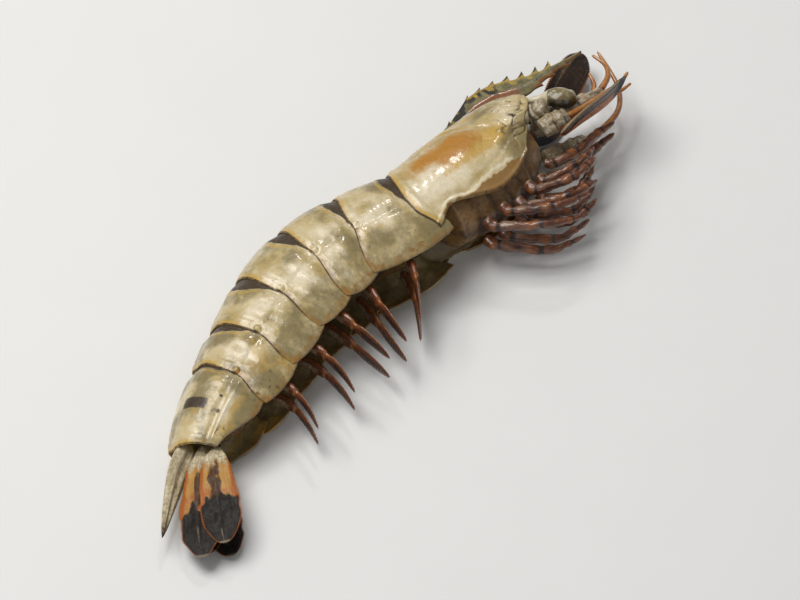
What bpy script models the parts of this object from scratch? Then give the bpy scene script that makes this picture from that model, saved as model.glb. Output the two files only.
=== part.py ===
"""A raw, whole tiger prawn that lies on its left flank, in metres.

The sagittal plane is nearly level: +X runs from the tail to the head, +Y is the back, -Y the belly, +Z the
right flank. Every piece is placed in body coordinates: a distance along the spine (zero at the rear edge
of the head shell, growing towards the tail), a lateral offset (towards the right flank) and a dorsal one.
"""

import math
from bisect import bisect_right

import bmesh
import bpy
import numpy as np
from mathutils import Vector

MM = 0.001

# Driving dimensions, in millimetres.
SHELL_LENGTH = 44.0  # head shell, from the eye notch to its rear edge
ROSTRUM_LENGTH = 26.0  # spike, ahead of the eye notch
SEGMENT_LENGTHS = (16.5, 14.5, 14.5, 14.3, 12.4, 21.5)  # of the six tail segments, on the centre line
WALL = 0.7  # thickness of every shell plate
PLAY = 0.4  # free space between a plate and what it covers
TUCK = 3.6  # how far a plate reaches in under the one ahead of it
FLOOR_CUT = 0.9  # how much of the flank the prawn's own weight presses flat
HINGE_LEAN = (2.4, 1.3, 1.2, 0.3, 0.9, 0.0)  # how far a plate's rear edge runs back, down to mid flank

SIDES = (("right", 1), ("left", -1))
JOINTS = [sum(SEGMENT_LENGTHS[:k]) for k in range(len(SEGMENT_LENGTHS) + 1)]
TAIL_END = JOINTS[-1]
NEST = WALL + PLAY  # a plate's front edge lies this much below the surface of the plate ahead

# The body's outline, as (place on the spine, size) in millimetres.
HALF_WIDTH = ((-60, 6.0), (-46, 9.0), (-34, 11.0), (-18, 12.5), (0, 12.3), (16, 12.3), (31, 12.0),
              (45, 11.2), (60, 10.2), (72, 9.2), (83, 8.0), (94, 6.4))
BACK_HEIGHT = ((-60, 9.0), (-46, 11.9), (-30, 13.3), (-14, 13.8), (-2, 13.8), (9, 15.0), (24, 15.4),
               (38, 14.8), (52, 13.6), (66, 12.2), (80, 10.6), (94, 8.2))
BELLY_DEPTH = ((-60, 7.0), (-46, 10.5), (-30, 15.0), (-12, 16.5), (0, 15.5), (16, 16.0), (31, 17.0),
               (45, 16.2), (60, 14.6), (72, 13.0), (83, 11.0), (94, 8.0))

# Direction of the spine towards the tail, in degrees from -X, growing towards the belly.
HEADING = ((-80, -24), (-60, -21), (-45, -17), (-30, -11), (-15, -9), (-3, -14), (8, -24), (20, -22),
           (30, -12), (38, -4), (50, 7), (64, 9), (80, 9), (90, 16), (98, 30), (125, 36))

# Dorsal coordinates, ahead of the head shell's rear edge, of the keel's back and of the spike's underside.
RIDGE = ((19, 13.5), (26, 15.0), (31, 16.0), (35, 17.4), (39, 18.9), (43, 18.9), (47, 18.0), (51, 16.2),
         (55, 15.0), (60, 14.3), (66, 14.1), (70, 14.3))
SPIKE_UNDER = ((44, 12.2), (46.5, 10.7), (51, 10.1), (55, 11.0), (60, 12.1), (66, 13.2), (70, 13.9))

SHELL_CREAM = (0.62, 0.57, 0.42)
DARK_BROWN = (0.10, 0.055, 0.03)
FLESH_BROWN = (0.42, 0.25, 0.13)
LEG_RED = (0.36, 0.10, 0.04)
WHISKER_ORANGE = (0.60, 0.27, 0.07)
EYE_BLACK = (0.03, 0.028, 0.03)
FAN_BLACK = (0.07, 0.06, 0.07)


def profile(stations, place):
    """Value at a place of the smooth curve through (place, value) stations."""
    places = [station[0] for station in stations]
    if place <= places[0]:
        return stations[0][1]
    if place >= places[-1]:
        return stations[-1][1]
    k = bisect_right(places, place) - 1
    start, end = stations[k], stations[k + 1]
    before = stations[max(k - 1, 0)]
    after = stations[min(k + 2, len(stations) - 1)]
    span = end[0] - start[0]
    t = (place - start[0]) / span
    leave = (end[1] - before[1]) / (end[0] - before[0]) * span
    arrive = (after[1] - start[1]) / (after[0] - start[0]) * span
    return (start[1] * (2 * t**3 - 3 * t**2 + 1) + leave * (t**3 - 2 * t**2 + t)
            + end[1] * (3 * t**2 - 2 * t**3) + arrive * (t**3 - t**2))


def smooth(value, low, high):
    """0 below low, 1 above high, and a soft step between."""
    t = min(max((value - low) / (high - low), 0.0), 1.0)
    return t * t * (3 - 2 * t)


def spine_table():
    """Places on the spine, and the level x, y and forward angle there, in millimetres and radians."""
    places = np.linspace(-90, 140, 921)
    angles = np.radians([profile(HEADING, s) for s in places])
    step = places[1] - places[0]
    x = -np.cumsum(np.cos(angles)) * step
    y = -np.cumsum(np.sin(angles)) * step
    start = np.searchsorted(places, 0.0)
    return places, x - x[start], y - y[start], angles


SPINE = spine_table()


def spine_height(s):
    """Height of the spine: level along the head, then down with the tail's width, so the flank lies flat."""
    level = profile(HALF_WIDTH, 0) - FLOOR_CUT
    low = profile(HALF_WIDTH, s) - FLOOR_CUT
    return level + (low - level) * smooth(s, 6, 40)


def place(s, lateral, dorsal):
    """World point, in metres, of a point in body coordinates, in millimetres."""
    places, xs, ys, angles = SPINE
    x = np.interp(s, places, xs)
    y = np.interp(s, places, ys)
    angle = np.interp(s, places, angles)
    x, y = x - math.sin(angle) * dorsal, y + math.cos(angle) * dorsal
    return Vector((x, y, spine_height(s) + lateral)) * MM


def section(s, turn, inset=0.0):
    """(lateral, dorsal) of the body's outline at s and turn.

    turn is 0 on the back, 1 at mid flank and 2 at the lower edge, and negative on the left side. The back
    half is a full oval with a low keel near the tail, and the side plates below draw in.
    """
    width = profile(HALF_WIDTH, s) - inset
    size = abs(turn)
    keel = 0.8 * smooth(s, 44, 66) * smooth(size, 0.2, 0.0)
    if size <= 1:
        angle = size * math.pi / 2
        lateral = width * math.sin(angle) ** 0.88
        dorsal = (profile(BACK_HEIGHT, s) - inset) * math.cos(angle) ** 0.94 + keel
    else:
        down = size - 1
        draw_in = 0.40 if s < 0 else 0.34
        lateral = width * (1 - draw_in * down**2)
        dorsal = -(profile(BELLY_DEPTH, s) - 0.6 * inset) * down
    return math.copysign(lateral, turn), dorsal


def skin(s, turn, inset=0.0):
    """World point of the body's surface, or of one inset below it, pressed flat where it meets the floor."""
    point = place(s, *section(s, turn, inset))
    point.z = max(point.z, inset * MM)
    return point


def catmull(points, count):
    """Points read from a smooth curve through the given ones."""
    points = [Vector(p) for p in points]
    ends = [points[0] * 2 - points[1], *points, points[-1] * 2 - points[-2]]
    spans = len(points) - 1
    read = []
    for n in range(count):
        where = min(n / (count - 1) * spans, spans - 1e-9)
        k = int(where)
        t = where - k
        a, b, c, d = ends[k:k + 4]
        read.append(0.5 * (2 * b + (c - a) * t + (2 * a - 5 * b + 4 * c - d) * t**2
                           + (3 * b - a - 3 * c + d) * t**3))
    return read


def material(name, colour, roughness=0.35):
    """A plain wet-looking finish."""
    made = bpy.data.materials.new(name)
    made.use_nodes = True
    shader = made.node_tree.nodes["Principled BSDF"]
    shader.inputs["Base Color"].default_value = (*colour, 1)
    shader.inputs["Roughness"].default_value = roughness
    shader.inputs["Metallic"].default_value = 0.0
    return made


def face_out(bm):
    """Turns a closed mesh's faces outwards."""
    if bm.calc_volume(signed=True) < 0:
        bmesh.ops.reverse_faces(bm, faces=bm.faces)


def finish_mesh(name, bm, finish, collection):
    """A smooth-shaded object from a bmesh, in the prawn's collection."""
    mesh = bpy.data.meshes.new(name)
    bm.to_mesh(mesh)
    bm.free()
    mesh.materials.append(finish)
    mesh.shade_smooth()
    mesh.set_sharp_from_angle(angle=math.radians(40))
    made = bpy.data.objects.new(name, mesh)
    collection.objects.link(made)
    return made


def plate(name, front, rear, edge, inset, rows, columns, finish, collection):
    """A shell plate: a grid laid on the body from its front to its rear edge, thickened inwards.

    front and rear give the spine place of those edges at a turn, edge the outermost turn at a share of the
    plate's length, and inset the depth below the body's surface at that share.
    """
    bm = bmesh.new()
    bmesh.ops.create_grid(bm, x_segments=columns, y_segments=rows, size=1)
    for vertex in bm.verts:
        share = (1 - vertex.co.y) / 2
        turn = vertex.co.x * edge(share)
        s = front(turn) * (1 - share) + rear(turn) * share
        vertex.co = skin(s, turn, inset(share, turn))
    made = finish_mesh(name, bm, finish, collection)
    wall = made.modifiers.new("Wall", "SOLIDIFY")
    wall.thickness = WALL * MM
    wall.offset = -1
    return made


def blade(name, path, across, half_widths, half_thickness, finish, collection, around=10, rings=10, cup=0.0):
    """A flat or round limb: a sphere drawn out along a path, with a half width at each share of the way.

    across is the direction of the width. cup bends the edges out of the plane, as a share of the width.
    """
    bm = bmesh.new()
    bmesh.ops.create_uvsphere(bm, u_segments=around, v_segments=rings, radius=1)
    across = Vector(across).normalized()
    line = catmull(path, 41)
    for vertex in bm.verts:
        share = math.acos(max(-1.0, min(1.0, vertex.co.z))) / math.pi
        where = share * (len(line) - 1)
        k = min(int(where), len(line) - 2)
        centre = line[k].lerp(line[k + 1], where - k)
        along = (line[k + 1] - line[k]).normalized()
        side = (across - along * across.dot(along)).normalized()
        normal = along.cross(side)
        rim = math.hypot(vertex.co.x, vertex.co.y)
        spread = vertex.co.x / rim if rim > 1e-6 else 0.0
        rise = vertex.co.y / rim if rim > 1e-6 else 0.0
        width = profile(half_widths, share) * MM
        thick = profile(half_thickness, share) * MM
        bend = cup * width * spread**2
        vertex.co = centre + side * width * spread + normal * (thick * rise + bend)
    face_out(bm)
    return finish_mesh(name, bm, finish, collection)


def limb(name, path, radii, finish, collection, points=9, sides=6):
    """A round tapering limb: a bevelled curve through a path of world points."""
    curve = bpy.data.curves.new(name, "CURVE")
    curve.dimensions = "3D"
    curve.bevel_depth = MM
    curve.bevel_resolution = (sides - 4) // 2
    curve.use_fill_caps = True
    spline = curve.splines.new("POLY")
    line = catmull(path, points)
    spline.points.add(points - 1)
    for n, (point, centre) in enumerate(zip(spline.points, line)):
        point.co = (*centre, 1)
        point.radius = profile(radii, n / (points - 1))
    curve.materials.append(finish)
    made = bpy.data.objects.new(name, curve)
    collection.objects.link(made)
    return made


def as_mesh(obj):
    """The object as a closed mesh object in its place, so that a Boolean can use it."""
    graph = bpy.context.evaluated_depsgraph_get()
    mesh = bpy.data.meshes.new_from_object(obj.evaluated_get(graph))
    bm = bmesh.new()
    bm.from_mesh(mesh)
    bmesh.ops.remove_doubles(bm, verts=bm.verts, dist=1e-7)
    bmesh.ops.recalc_face_normals(bm, faces=bm.faces)
    bm.to_mesh(mesh)
    bm.free()
    made = bpy.data.objects.new(obj.name, mesh)
    made.matrix_world = obj.matrix_world
    name = obj.name
    collection = obj.users_collection[0]
    bpy.data.objects.remove(obj)
    collection.objects.link(made)
    made.name = name
    return made


def fuse(base, others):
    """Joins the others into the base with one Boolean union, and removes them."""
    base = as_mesh(base)
    joined = bpy.data.collections.new(base.name + "_joined")
    for other in [as_mesh(o) for o in others]:
        for collection in list(other.users_collection):
            collection.objects.unlink(other)
        joined.objects.link(other)
    union = base.modifiers.new("Union", "BOOLEAN")
    union.operation = "UNION"
    union.operand_type = "COLLECTION"
    union.collection = joined
    base = as_mesh(base)
    for other in list(joined.objects):
        bpy.data.objects.remove(other)
    bpy.data.collections.remove(joined)
    base.data.shade_smooth()
    base.data.set_sharp_from_angle(angle=math.radians(40))
    return base


def head_point(forward, lateral, dorsal):
    """A point of the head, by its distance ahead of the head shell's rear edge."""
    return place(-forward, lateral, dorsal)


def spike_lower(x):
    """Dorsal coordinate of the keel's foot, just under the shell's surface, and of the spike's underside."""
    root = profile(BACK_HEIGHT, -min(x, SHELL_LENGTH)) - 0.35
    return root + (profile(SPIKE_UNDER, x) - root) * smooth(x, SHELL_LENGTH - 3.5, SHELL_LENGTH + 1)


def spike_outline():
    """The spike's and keel's outline with their teeth, as (forward, dorsal) points."""
    tip = SHELL_LENGTH + ROSTRUM_LENGTH
    keel_start = RIDGE[0][0]
    outline = [(keel_start, profile(RIDGE, keel_start))]
    for point in (31.5, 39.9, 43.5, 47.1, 50.7, 54.3, 57.9, 61.5):
        start = point - 4.0 if point > 36 else point - 3.0
        height = 1.0 + 1.2 * smooth(point, 44, 53)
        outline += [(start, profile(RIDGE, start)), (start + 1.8, profile(RIDGE, start + 1.8) + 0.3)]
        outline += [(point, profile(RIDGE, point) + height), (point - 0.7, profile(RIDGE, point - 0.7) + 0.2)]
    outline += [(tip - 5, profile(RIDGE, tip - 5)), (tip, profile(RIDGE, tip)), (tip - 0.1, spike_lower(tip))]
    for x in (tip - 6, tip - 10.5, tip - 15):
        outline += [(x + 0.2, spike_lower(x)), (x + 1.0, spike_lower(x) - 0.8)]
        outline.append((x - 2.2, spike_lower(x - 2.2)))
    return outline + [(x, spike_lower(x)) for x in np.linspace(SHELL_LENGTH + 7, keel_start + 1, 12)]


def rostrum(finish, collection):
    """The toothed spike and the keel behind it: a flat outline in the sagittal plane."""
    orbit = SHELL_LENGTH
    tip = orbit + ROSTRUM_LENGTH
    outline = spike_outline()
    curve = bpy.data.curves.new("rostrum", "CURVE")
    curve.dimensions = "2D"
    curve.fill_mode = "BOTH"
    curve.extrude = 0.8 * MM
    spline = curve.splines.new("POLY")
    spline.use_cyclic_u = True
    spline.points.add(len(outline) - 1)
    for point, (x, dorsal) in zip(spline.points, outline):
        where = head_point(x, 0, dorsal)
        point.co = (where.x, where.y, 0, 1)
    curve.materials.append(finish)
    made = bpy.data.objects.new("rostrum", curve)
    made.location.z = spine_height(0) * MM
    collection.objects.link(made)
    made = as_mesh(made)
    middle = spine_height(0) * MM
    root = head_point(orbit, 0, 0)
    ahead = (head_point(tip, 0, 0) - root).normalized()
    for vertex in made.data.vertices:
        along = (vertex.co - root).dot(ahead) / (ROSTRUM_LENGTH * MM)
        vertex.co.z *= 1 - 0.62 * min(max(along, 0), 1)
    made.location.z = middle
    return made


def head_rear(turn):
    """Where the head shell's rear edge is on the spine: furthest back at mid flank."""
    size = abs(turn)
    return -2.2 + 5.2 * smooth(size, 0.15, 1.1) - 2.4 * smooth(size, 1.3, 1.8)


# The head shell's lower edge: its turn at each share of the way from the front. It draws up before the rear.
LOWER_EDGE = ((0, 1.72), (0.2, 1.84), (0.45, 1.84), (0.65, 1.68), (0.8, 1.57), (0.9, 1.66), (1, 1.8))


def carapace(finish, collection):
    """The head shell with its eye notches, corner spines and the spike."""

    def front(turn):
        size = abs(turn)
        notch = 4.0 * smooth(size, 0.04, 0.3) - 5.5 * smooth(size, 0.4, 0.75)
        return -SHELL_LENGTH + notch + 6.0 * smooth(size, 0.78, 1.2) + 7.5 * smooth(size, 1.2, 1.8)

    def edge(share):
        return profile(LOWER_EDGE, share)

    def inset(share, turn):
        size = abs(turn)
        cheek = math.exp(-((share - 0.33) / 0.10) ** 2) * smooth(size, 0.2, 0.6) * smooth(size, 1.4, 1.0)
        return 0.7 * cheek

    made = plate("carapace", front, head_rear, edge, inset, 15, 20, finish, collection)
    return fuse(made, [rostrum(finish, collection)])


def lean(number, turn):
    """How far a tail segment's rear edge runs back of its joint: first to the hinge, then down the side."""
    size = abs(turn)
    to_hinge = -1.0 * smooth(size, 0.9, 0.0) + HINGE_LEAN[number - 1] * smooth(size, 0.45, 1.0)
    return to_hinge + 3.4 * smooth(size, 1.0, 1.75)


def segment(number, finish, collection):
    """One tail segment's plate, tucked in under the plate ahead of it."""
    start, end = JOINTS[number - 1], JOINTS[number]
    last = number == len(SEGMENT_LENGTHS)

    def front(turn):
        return start - TUCK + lean(number - 1, turn) if number > 1 else head_rear(turn) - TUCK + 0.6

    def rear(turn):
        return end + (0.0 if last else lean(number, turn))

    def edge(share):
        lobe = 0.10 * abs(2 * share - 1) ** 3
        return (1.9 - 0.35 * smooth(share, 0.3, 1.0) if last else 2.0) - lobe

    def inset(share, _):
        return NEST * smooth(share, 0.75, 0.1)

    return plate(f"segment_{number}", front, rear, edge, inset, 6, 18, finish, collection)


def flesh(name, start, end, depth, under, finish, collection, around=16, rings=16):
    """A body of flesh inside the plates: a sphere drawn out along the spine.

    under is its distance below the plates' surface, and depth its belly as a share of the side plates'.
    """
    bm = bmesh.new()
    bmesh.ops.create_uvsphere(bm, u_segments=around, v_segments=rings, radius=1)
    for vertex in bm.verts:
        share = math.acos(max(-1.0, min(1.0, vertex.co.z))) / math.pi
        s = start + (end - start) * share
        rim = math.hypot(vertex.co.x, vertex.co.y)
        fill = min(1.0, 2.3 * math.sin(math.pi * share) ** 0.6) if rim > 1e-6 else 0.0
        spread = vertex.co.x / rim if rim > 1e-6 else 0.0
        rise = vertex.co.y / rim if rim > 1e-6 else 0.0
        width = (profile(HALF_WIDTH, s) - under) * fill
        tall = profile(BACK_HEIGHT, s) - under - 0.6 if rise > 0 else profile(BELLY_DEPTH, s) * depth(share)
        point = place(s, width * spread, tall * fill * rise)
        point.z = max(point.z, (under + 0.1) * MM)
        vertex.co = point
    face_out(bm)
    return finish_mesh(name, bm, finish, collection)


HEAD_FLESH = (-42.0, -3.2)  # front and rear end of the flesh in the head shell
TAIL_FLESH = (-1.5, TAIL_END - 5.0)


def head_depth(share):
    """How deep the head's flesh reaches, as a share of the head shell's side: shallow at the mouth."""
    return 0.70 + 0.28 * smooth(share, 0.0, 0.35) - 0.18 * smooth(share, 0.5, 1.0)


def breast(forward, lateral):
    """Dorsal coordinate of the head flesh's underside, where the legs start."""
    front, rear = HEAD_FLESH
    deepest = 0.0
    for ahead in (-1.6, 0.0, 1.6):
        share = (-forward - ahead - front) / (rear - front)
        deepest = min(deepest, -profile(BELLY_DEPTH, -forward - ahead) * head_depth(share))
    width = profile(HALF_WIDTH, -forward) - WALL - PLAY - 1.2
    inner_edge = max(abs(lateral) - 1.5, 0.0)
    return deepest * math.sqrt(1 - (inner_edge / width) ** 2)


# Along each eye stalk and eye: forward, lateral, dorsal. The left one is pushed up against the spike.
EYE_PATHS = {
    "right": ((43.2, 3.6, 6.4), (46.5, 6.0, 4.0), (49.6, 7.4, 1.4), (53.0, 7.6, -1.8), (55.4, 7.4, -4.4)),
    "left": ((43.0, -2.4, 7.2), (45.8, -3.0, 7.4), (48.6, -3.4, 7.4), (52.2, -4.0, 7.2)),
}


def eye(side, finish, collection):
    """An eye on its stalk, which comes out from under the spike."""
    path = [head_point(*station) for station in EYE_PATHS[side]]
    radius = ((0, 0.9), (0.3, 1.0), (0.46, 1.2), (0.54, 2.0), (0.64, 2.5), (0.76, 2.7), (0.86, 2.4),
              (0.94, 1.7), (1, 1.0))
    return blade(f"eye_{side}", path, (0, 0.2, 1), radius, radius, finish, collection, around=12, rings=14)


# Along each feeler scale: forward, lateral, dorsal. The left one is pushed up behind the spike.
SCALE_PATHS = {
    "right": ((44.3, 7.6, -10.7), (52, 8.0, -9.6), (61, 7.6, -8.0), (70.5, 6.6, -4.9)),
    "left": ((44.5, -7.0, 2.2), (52.5, -8.6, 4.2), (62.5, -7.2, 11.2), (72.8, -5.4, 17.0)),
}


def feeler_scale(side, sign, finish, collection):
    """The broad blade beside the spike."""
    path = [head_point(*station) for station in SCALE_PATHS[side]]
    tilt = (0.97, -0.2) if sign > 0 else (0.5, 0.86)
    across = place(-60, *tilt) - place(-60, 0, 0)
    wide = ((0, 1.5), (0.2, 3.0), (0.5, 3.8 if sign > 0 else 4.4), (0.85, 4.0), (1, 2.2))
    thick = ((0, 0.9), (0.3, 0.6), (1, 0.3))
    return blade(f"antennal_scale_{side}", path, across, wide, thick, finish, collection, cup=0.1)


# Along the stout first joint of each antenna: forward, lateral, dorsal.
BASE_PATHS = {
    "right": ((42.8, 6.2, 0.2), (45.6, 7.5, -0.5), (48.0, 8.4, -1.0)),
    "left": ((42.3, -7.0, -1.6), (45.0, -7.8, -2.6), (47.8, -8.2, -3.4)),
}


def feeler_base(side, sign, finish, collection):
    """The stout joint between the eye and the broad blade."""
    path = [head_point(*station) for station in BASE_PATHS[side]]
    widest = 2.1 if sign > 0 else 1.5
    shape = ((0, 0.5), (0.3, 0.95), (0.6, 1.0), (0.85, 0.85), (1, 0.5))
    radius = [(share, size * widest) for share, size in shape]
    up = (0, 0, 1)
    return blade(f"antenna_base_{side}", path, up, radius, radius, finish, collection, around=10, rings=8)


# For each antennule, its stem and its two whips; for each antenna, its stem and what is left of its whip.
SMALL_FEELERS = {
    "right": (((44.5, 2.2, 0.8), (54, 2.6, -0.6), (65.5, 3.0, -2.2)),
              ((64.8, 3.4, -2.0), (69.2, 3.2, 1.0), (70.9, 3.0, 4.8), (70.1, 3.0, 9.4)),
              ((64.8, 2.4, -2.6), (69.5, 1.4, -3.6), (74.0, 0.8, -2.6))),
    "left": (((44.5, -2.4, 1.4), (54, -3.0, 1.0), (64.5, -2.6, 0.6)),
             ((64.0, -3.0, 0.9), (67.5, -2.6, 4.6), (68.5, -2.0, 8.4)),
             ((64.0, -2.2, 0.2), (69.0, -1.6, -0.4), (74.0, -1.4, 0.6))),
}
LONG_FEELERS = {
    "right": (((42.5, 5.8, -5.2), (46.5, 6.8, -5.9), (50.5, 6.8, -6.6)),
              ((49.8, 6.6, -6.4), (57.5, 5.6, -5.8), (65, 5.0, -4.6), (69.5, 5.0, -4.0), (73.4, 5.0, -2.0))),
    "left": (((42.5, -4.6, -6.4), (49, -5.2, -7.4), (56, -4.8, -8.2)),
             ((55, -4.8, -8.1), (62, -5.0, -7.0), (69, -5.2, -4.0), (73, -4.8, 1.4), (74.2, -3.6, 7.4),
              (74.4, -2.0, 13.4))),
}


def small_feeler(side, finish, collection):
    """A stout stem of three joints that ends in two short whips."""
    stem, outer, inner = ([head_point(*station) for station in path] for path in SMALL_FEELERS[side])
    radius = ((0, 1.9), (0.32, 2.0), (0.36, 1.6), (0.66, 1.8), (0.7, 1.4), (1, 1.2))
    made = limb("stem", stem, radius, finish, collection)
    whips = [limb("outer", outer, ((0, 0.9), (1, 0.35)), finish, collection),
             limb("inner", inner, ((0, 0.8), (1, 0.3)), finish, collection)]
    made = fuse(made, whips)
    made.name = f"antennule_{side}"
    return made


def long_feeler(side, finish, collection):
    """The antenna: a thick stem, and what is left of its whip."""
    stem, whip = ([head_point(*station) for station in path] for path in LONG_FEELERS[side])
    radius = ((0, 2.4), (0.4, 2.8), (0.5, 2.4), (0.8, 2.4), (1, 1.6))
    made = limb("stem", stem, radius, finish, collection, points=7)
    made = fuse(made, [limb("whip", whip, ((0, 1.0), (1, 0.4)), finish, collection, points=13)])
    made.name = f"antenna_{side}"
    return made


def mouth_leg(side, sign, finish, collection):
    """The long leg-like mouthpart that points forward under the head."""
    lateral = sign * 2.6
    start = breast(37, lateral)
    stations = ((37, lateral, start - 0.6), (39, lateral, start - 2.3), (47, sign * 2.9, -14.6),
                (55, sign * 2.6, -13.0), (62, sign * 2.2, -12.0))
    path = [head_point(*station) for station in stations]
    return limb(f"maxilliped_{side}", path, ((0, 1.2), (0.5, 1.3), (0.8, 1.0), (1, 0.4)), finish, collection,
                points=11)


# For each walking leg: its start, the lengths of its two long joints, the first one's slope, and the bend.
WALKING_LEGS = ((31.5, 9, 10, 12, 26), (26.5, 10, 12, 25, 35), (21.4, 11, 12, 34, 33), (16.2, 11, 12, 44, 32),
                (11.0, 12, 12, 53, 30))


def walking_leg(number, side, sign, finish, collection):
    """A walking leg, folded forward: down from the breast, then forward, bent at the knee."""
    start, upper, lower, slope, bend = WALKING_LEGS[number - 1]
    lateral = 3.6 if number % 2 else 5.0
    first, second = math.radians(slope), math.radians(slope - bend)
    top = breast(start, lateral)
    drop = 3.2 if number == 1 else 4.2
    knee = (start + 1 + upper * math.cos(first), top - drop - upper * math.sin(first))
    end = (knee[0] + lower * math.cos(second), knee[1] - lower * math.sin(second))
    middle = ((knee[0] + end[0]) / 2, (knee[1] + end[1]) / 2 - 0.5)
    stations = ((start, lateral, top - 0.6), (start + 0.6, lateral, top - drop),
                (knee[0], lateral + 1.4, knee[1]), (middle[0], lateral + 1.0, middle[1]),
                (end[0], lateral, end[1]))
    path = [head_point(forward, sign * out, dorsal) for forward, out, dorsal in stations]
    claw = 1.15 if number <= 3 else 0.8
    radius = ((0, 1.5), (0.15, 1.5), (0.45, 1.1), (0.52, 1.2), (0.6, 0.9), (0.8, claw), (1, 0.35))
    return limb(f"walking_leg_{number}_{side}", path, radius, finish, collection, points=11)


SWIMMERET_LENGTHS = (22, 24, 23, 20, 17)


def swimmeret(number, side, sign, finish, collection):
    """A paddle under the tail: a stout stem, then a narrow blade that trails towards the tail."""
    s = (JOINTS[number - 1] + JOINTS[number]) / 2 + 1.0
    width, depth = profile(HALF_WIDTH, s), profile(BELLY_DEPTH, s)
    length = SWIMMERET_LENGTHS[number - 1]
    top = -0.60 * depth
    shape = ((0.0, 0.33, 0.0), (0.8, 0.34, 0.25), (2.4, 0.34, 0.47), (5.6, 0.34, 0.75), (9.5, 0.32, 1.0))
    path = [place(s + back, sign * width * out, top - length * down) for back, out, down in shape]
    widths = ((0, 0.10), (0.15, 0.16), (0.42, 0.16), (0.49, 0.11), (0.6, 0.17), (0.85, 0.12), (1, 0.03))
    wide = [(share, size * width) for share, size in widths]
    thick = ((0, 1.2), (0.3, 1.3), (0.45, 0.9), (0.6, 0.6), (1, 0.25))
    name = f"swimmeret_{number}_{side}"
    return blade(name, path, (0, 0, 1), wide, thick, finish, collection, around=8, rings=12)


def telson(finish, collection):
    """The tail's pointed middle blade."""
    rises = ((-2.6, 4.1), (5, 5.8), (15, 7.8), (26, 9.8))
    path = [place(TAIL_END + back, 0.6, rise) for back, rise in rises]
    across = place(TAIL_END + 10, 0.7, 0.72) - place(TAIL_END + 10, 0, 0)
    return blade("telson", path, across, ((0, 2.2), (0.2, 3.4), (0.5, 2.7), (0.8, 1.5), (1, 0.3)),
                 ((0, 1.0), (0.3, 1.3), (0.7, 0.9), (1, 0.4)), finish, collection)


# For each tail fan blade, from its root to its tip: back from the last joint, lateral, dorsal.
FAN_PATHS = {
    "uropod_inner_right": ((-2.6, 1.6, 0.9), (6, 1.2, 0.1), (18, 0.8, 0.3), (32, -0.2, 0.0)),
    "uropod_outer_right": ((-2.6, 3.0, -2.6), (6, 3.6, -3.6), (16, 3.2, -4.8), (29, 1.6, -5.8)),
    "uropod_inner_left": ((-2.6, -0.8, 0.2), (6, -1.4, -0.8), (17, -1.6, -1.2), (29, -2.2, -2.2)),
    "uropod_outer_left": ((-2.6, -2.6, -2.6), (6, -3.1, -3.8), (17, -3.4, -5.4), (29, -3.8, -7.4)),
}


def uropod(name, finish, collection):
    """One of the four blades of the half closed tail fan."""
    path = [place(TAIL_END + back, lateral, dorsal) for back, lateral, dorsal in FAN_PATHS[name]]
    across = place(TAIL_END + 10, -0.2, 1.0) - place(TAIL_END + 10, 0, 0)
    widest = 4.8 if "right" in name else 4.4
    shape = ((0, 0.25), (0.25, 0.7), (0.6, 1), (0.88, 0.8), (1, 0.3))
    wide = [(share, size * widest) for share, size in shape]
    thick = ((0, 1.0), (0.2, 0.9), (0.35, 0.5), (1, 0.3))
    return blade(name, path, across, wide, thick, finish, collection)


def settle(collection):
    """Moves all the pieces so that the origin is under the middle of the prawn, on the floor."""
    graph = bpy.context.evaluated_depsgraph_get()
    points = []
    for obj in collection.objects:
        seen = obj.evaluated_get(graph)
        points += [obj.matrix_basis @ vertex.co for vertex in seen.to_mesh().vertices]
        seen.to_mesh_clear()
    low = [min(point[axis] for point in points) for axis in range(3)]
    high = [max(point[axis] for point in points) for axis in range(3)]
    shift = Vector(((low[0] + high[0]) / 2, (low[1] + high[1]) / 2, low[2]))
    for obj in collection.objects:
        obj.location -= shift


def build():
    """Builds every piece in the prawn's collection."""
    for old in list(bpy.data.objects):
        bpy.data.objects.remove(old)
    prawn = bpy.data.collections.new("tiger_prawn")
    bpy.context.scene.collection.children.link(prawn)

    shell = material("shell", SHELL_CREAM, 0.28)
    meat = material("flesh", FLESH_BROWN, 0.4)
    dark_blade = material("dark_blade", DARK_BROWN, 0.3)
    legs = material("legs", LEG_RED, 0.35)
    whisker = material("whisker", WHISKER_ORANGE, 0.35)
    black = material("eye", EYE_BLACK, 0.12)
    fan = material("tail_fan", FAN_BLACK, 0.3)

    carapace(shell, prawn)
    for number in range(1, len(SEGMENT_LENGTHS) + 1):
        segment(number, shell, prawn)
    flesh("tail_flesh", *TAIL_FLESH, lambda share: 0.56, NEST + WALL + 0.6, meat, prawn)
    flesh("head_flesh", *HEAD_FLESH, head_depth, WALL + PLAY + 1.2, meat, prawn)
    for side, sign in SIDES:
        eye(side, black, prawn)
        feeler_scale(side, sign, dark_blade, prawn)
        feeler_base(side, sign, shell, prawn)
        small_feeler(side, dark_blade, prawn)
        long_feeler(side, whisker, prawn)
        mouth_leg(side, sign, legs, prawn)
        for number in range(1, 6):
            walking_leg(number, side, sign, legs, prawn)
            swimmeret(number, side, sign, legs, prawn)
    telson(fan, prawn)
    for name in FAN_PATHS:
        uropod(name, fan, prawn)
    settle(prawn)


build()
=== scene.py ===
"""Looks of a raw tiger prawn on its left flank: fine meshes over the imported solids, wet finishes, a studio.

Body coordinates place every point, in millimetres. s runs along the spine, from zero at the rear edge of
the head shell towards the tail. turn goes round the body: 0 on the back, 1 at mid flank, 2 at the lower
edge, and it is negative on the left side. lateral and dorsal are offsets from the spine, towards the right
flank and the back.
"""

from __future__ import annotations

import logging
import math
from dataclasses import dataclass, field
from enum import Enum
from typing import Any, Callable, Mapping, Sequence

import bpy
import numpy as np
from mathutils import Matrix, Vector, noise


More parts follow.
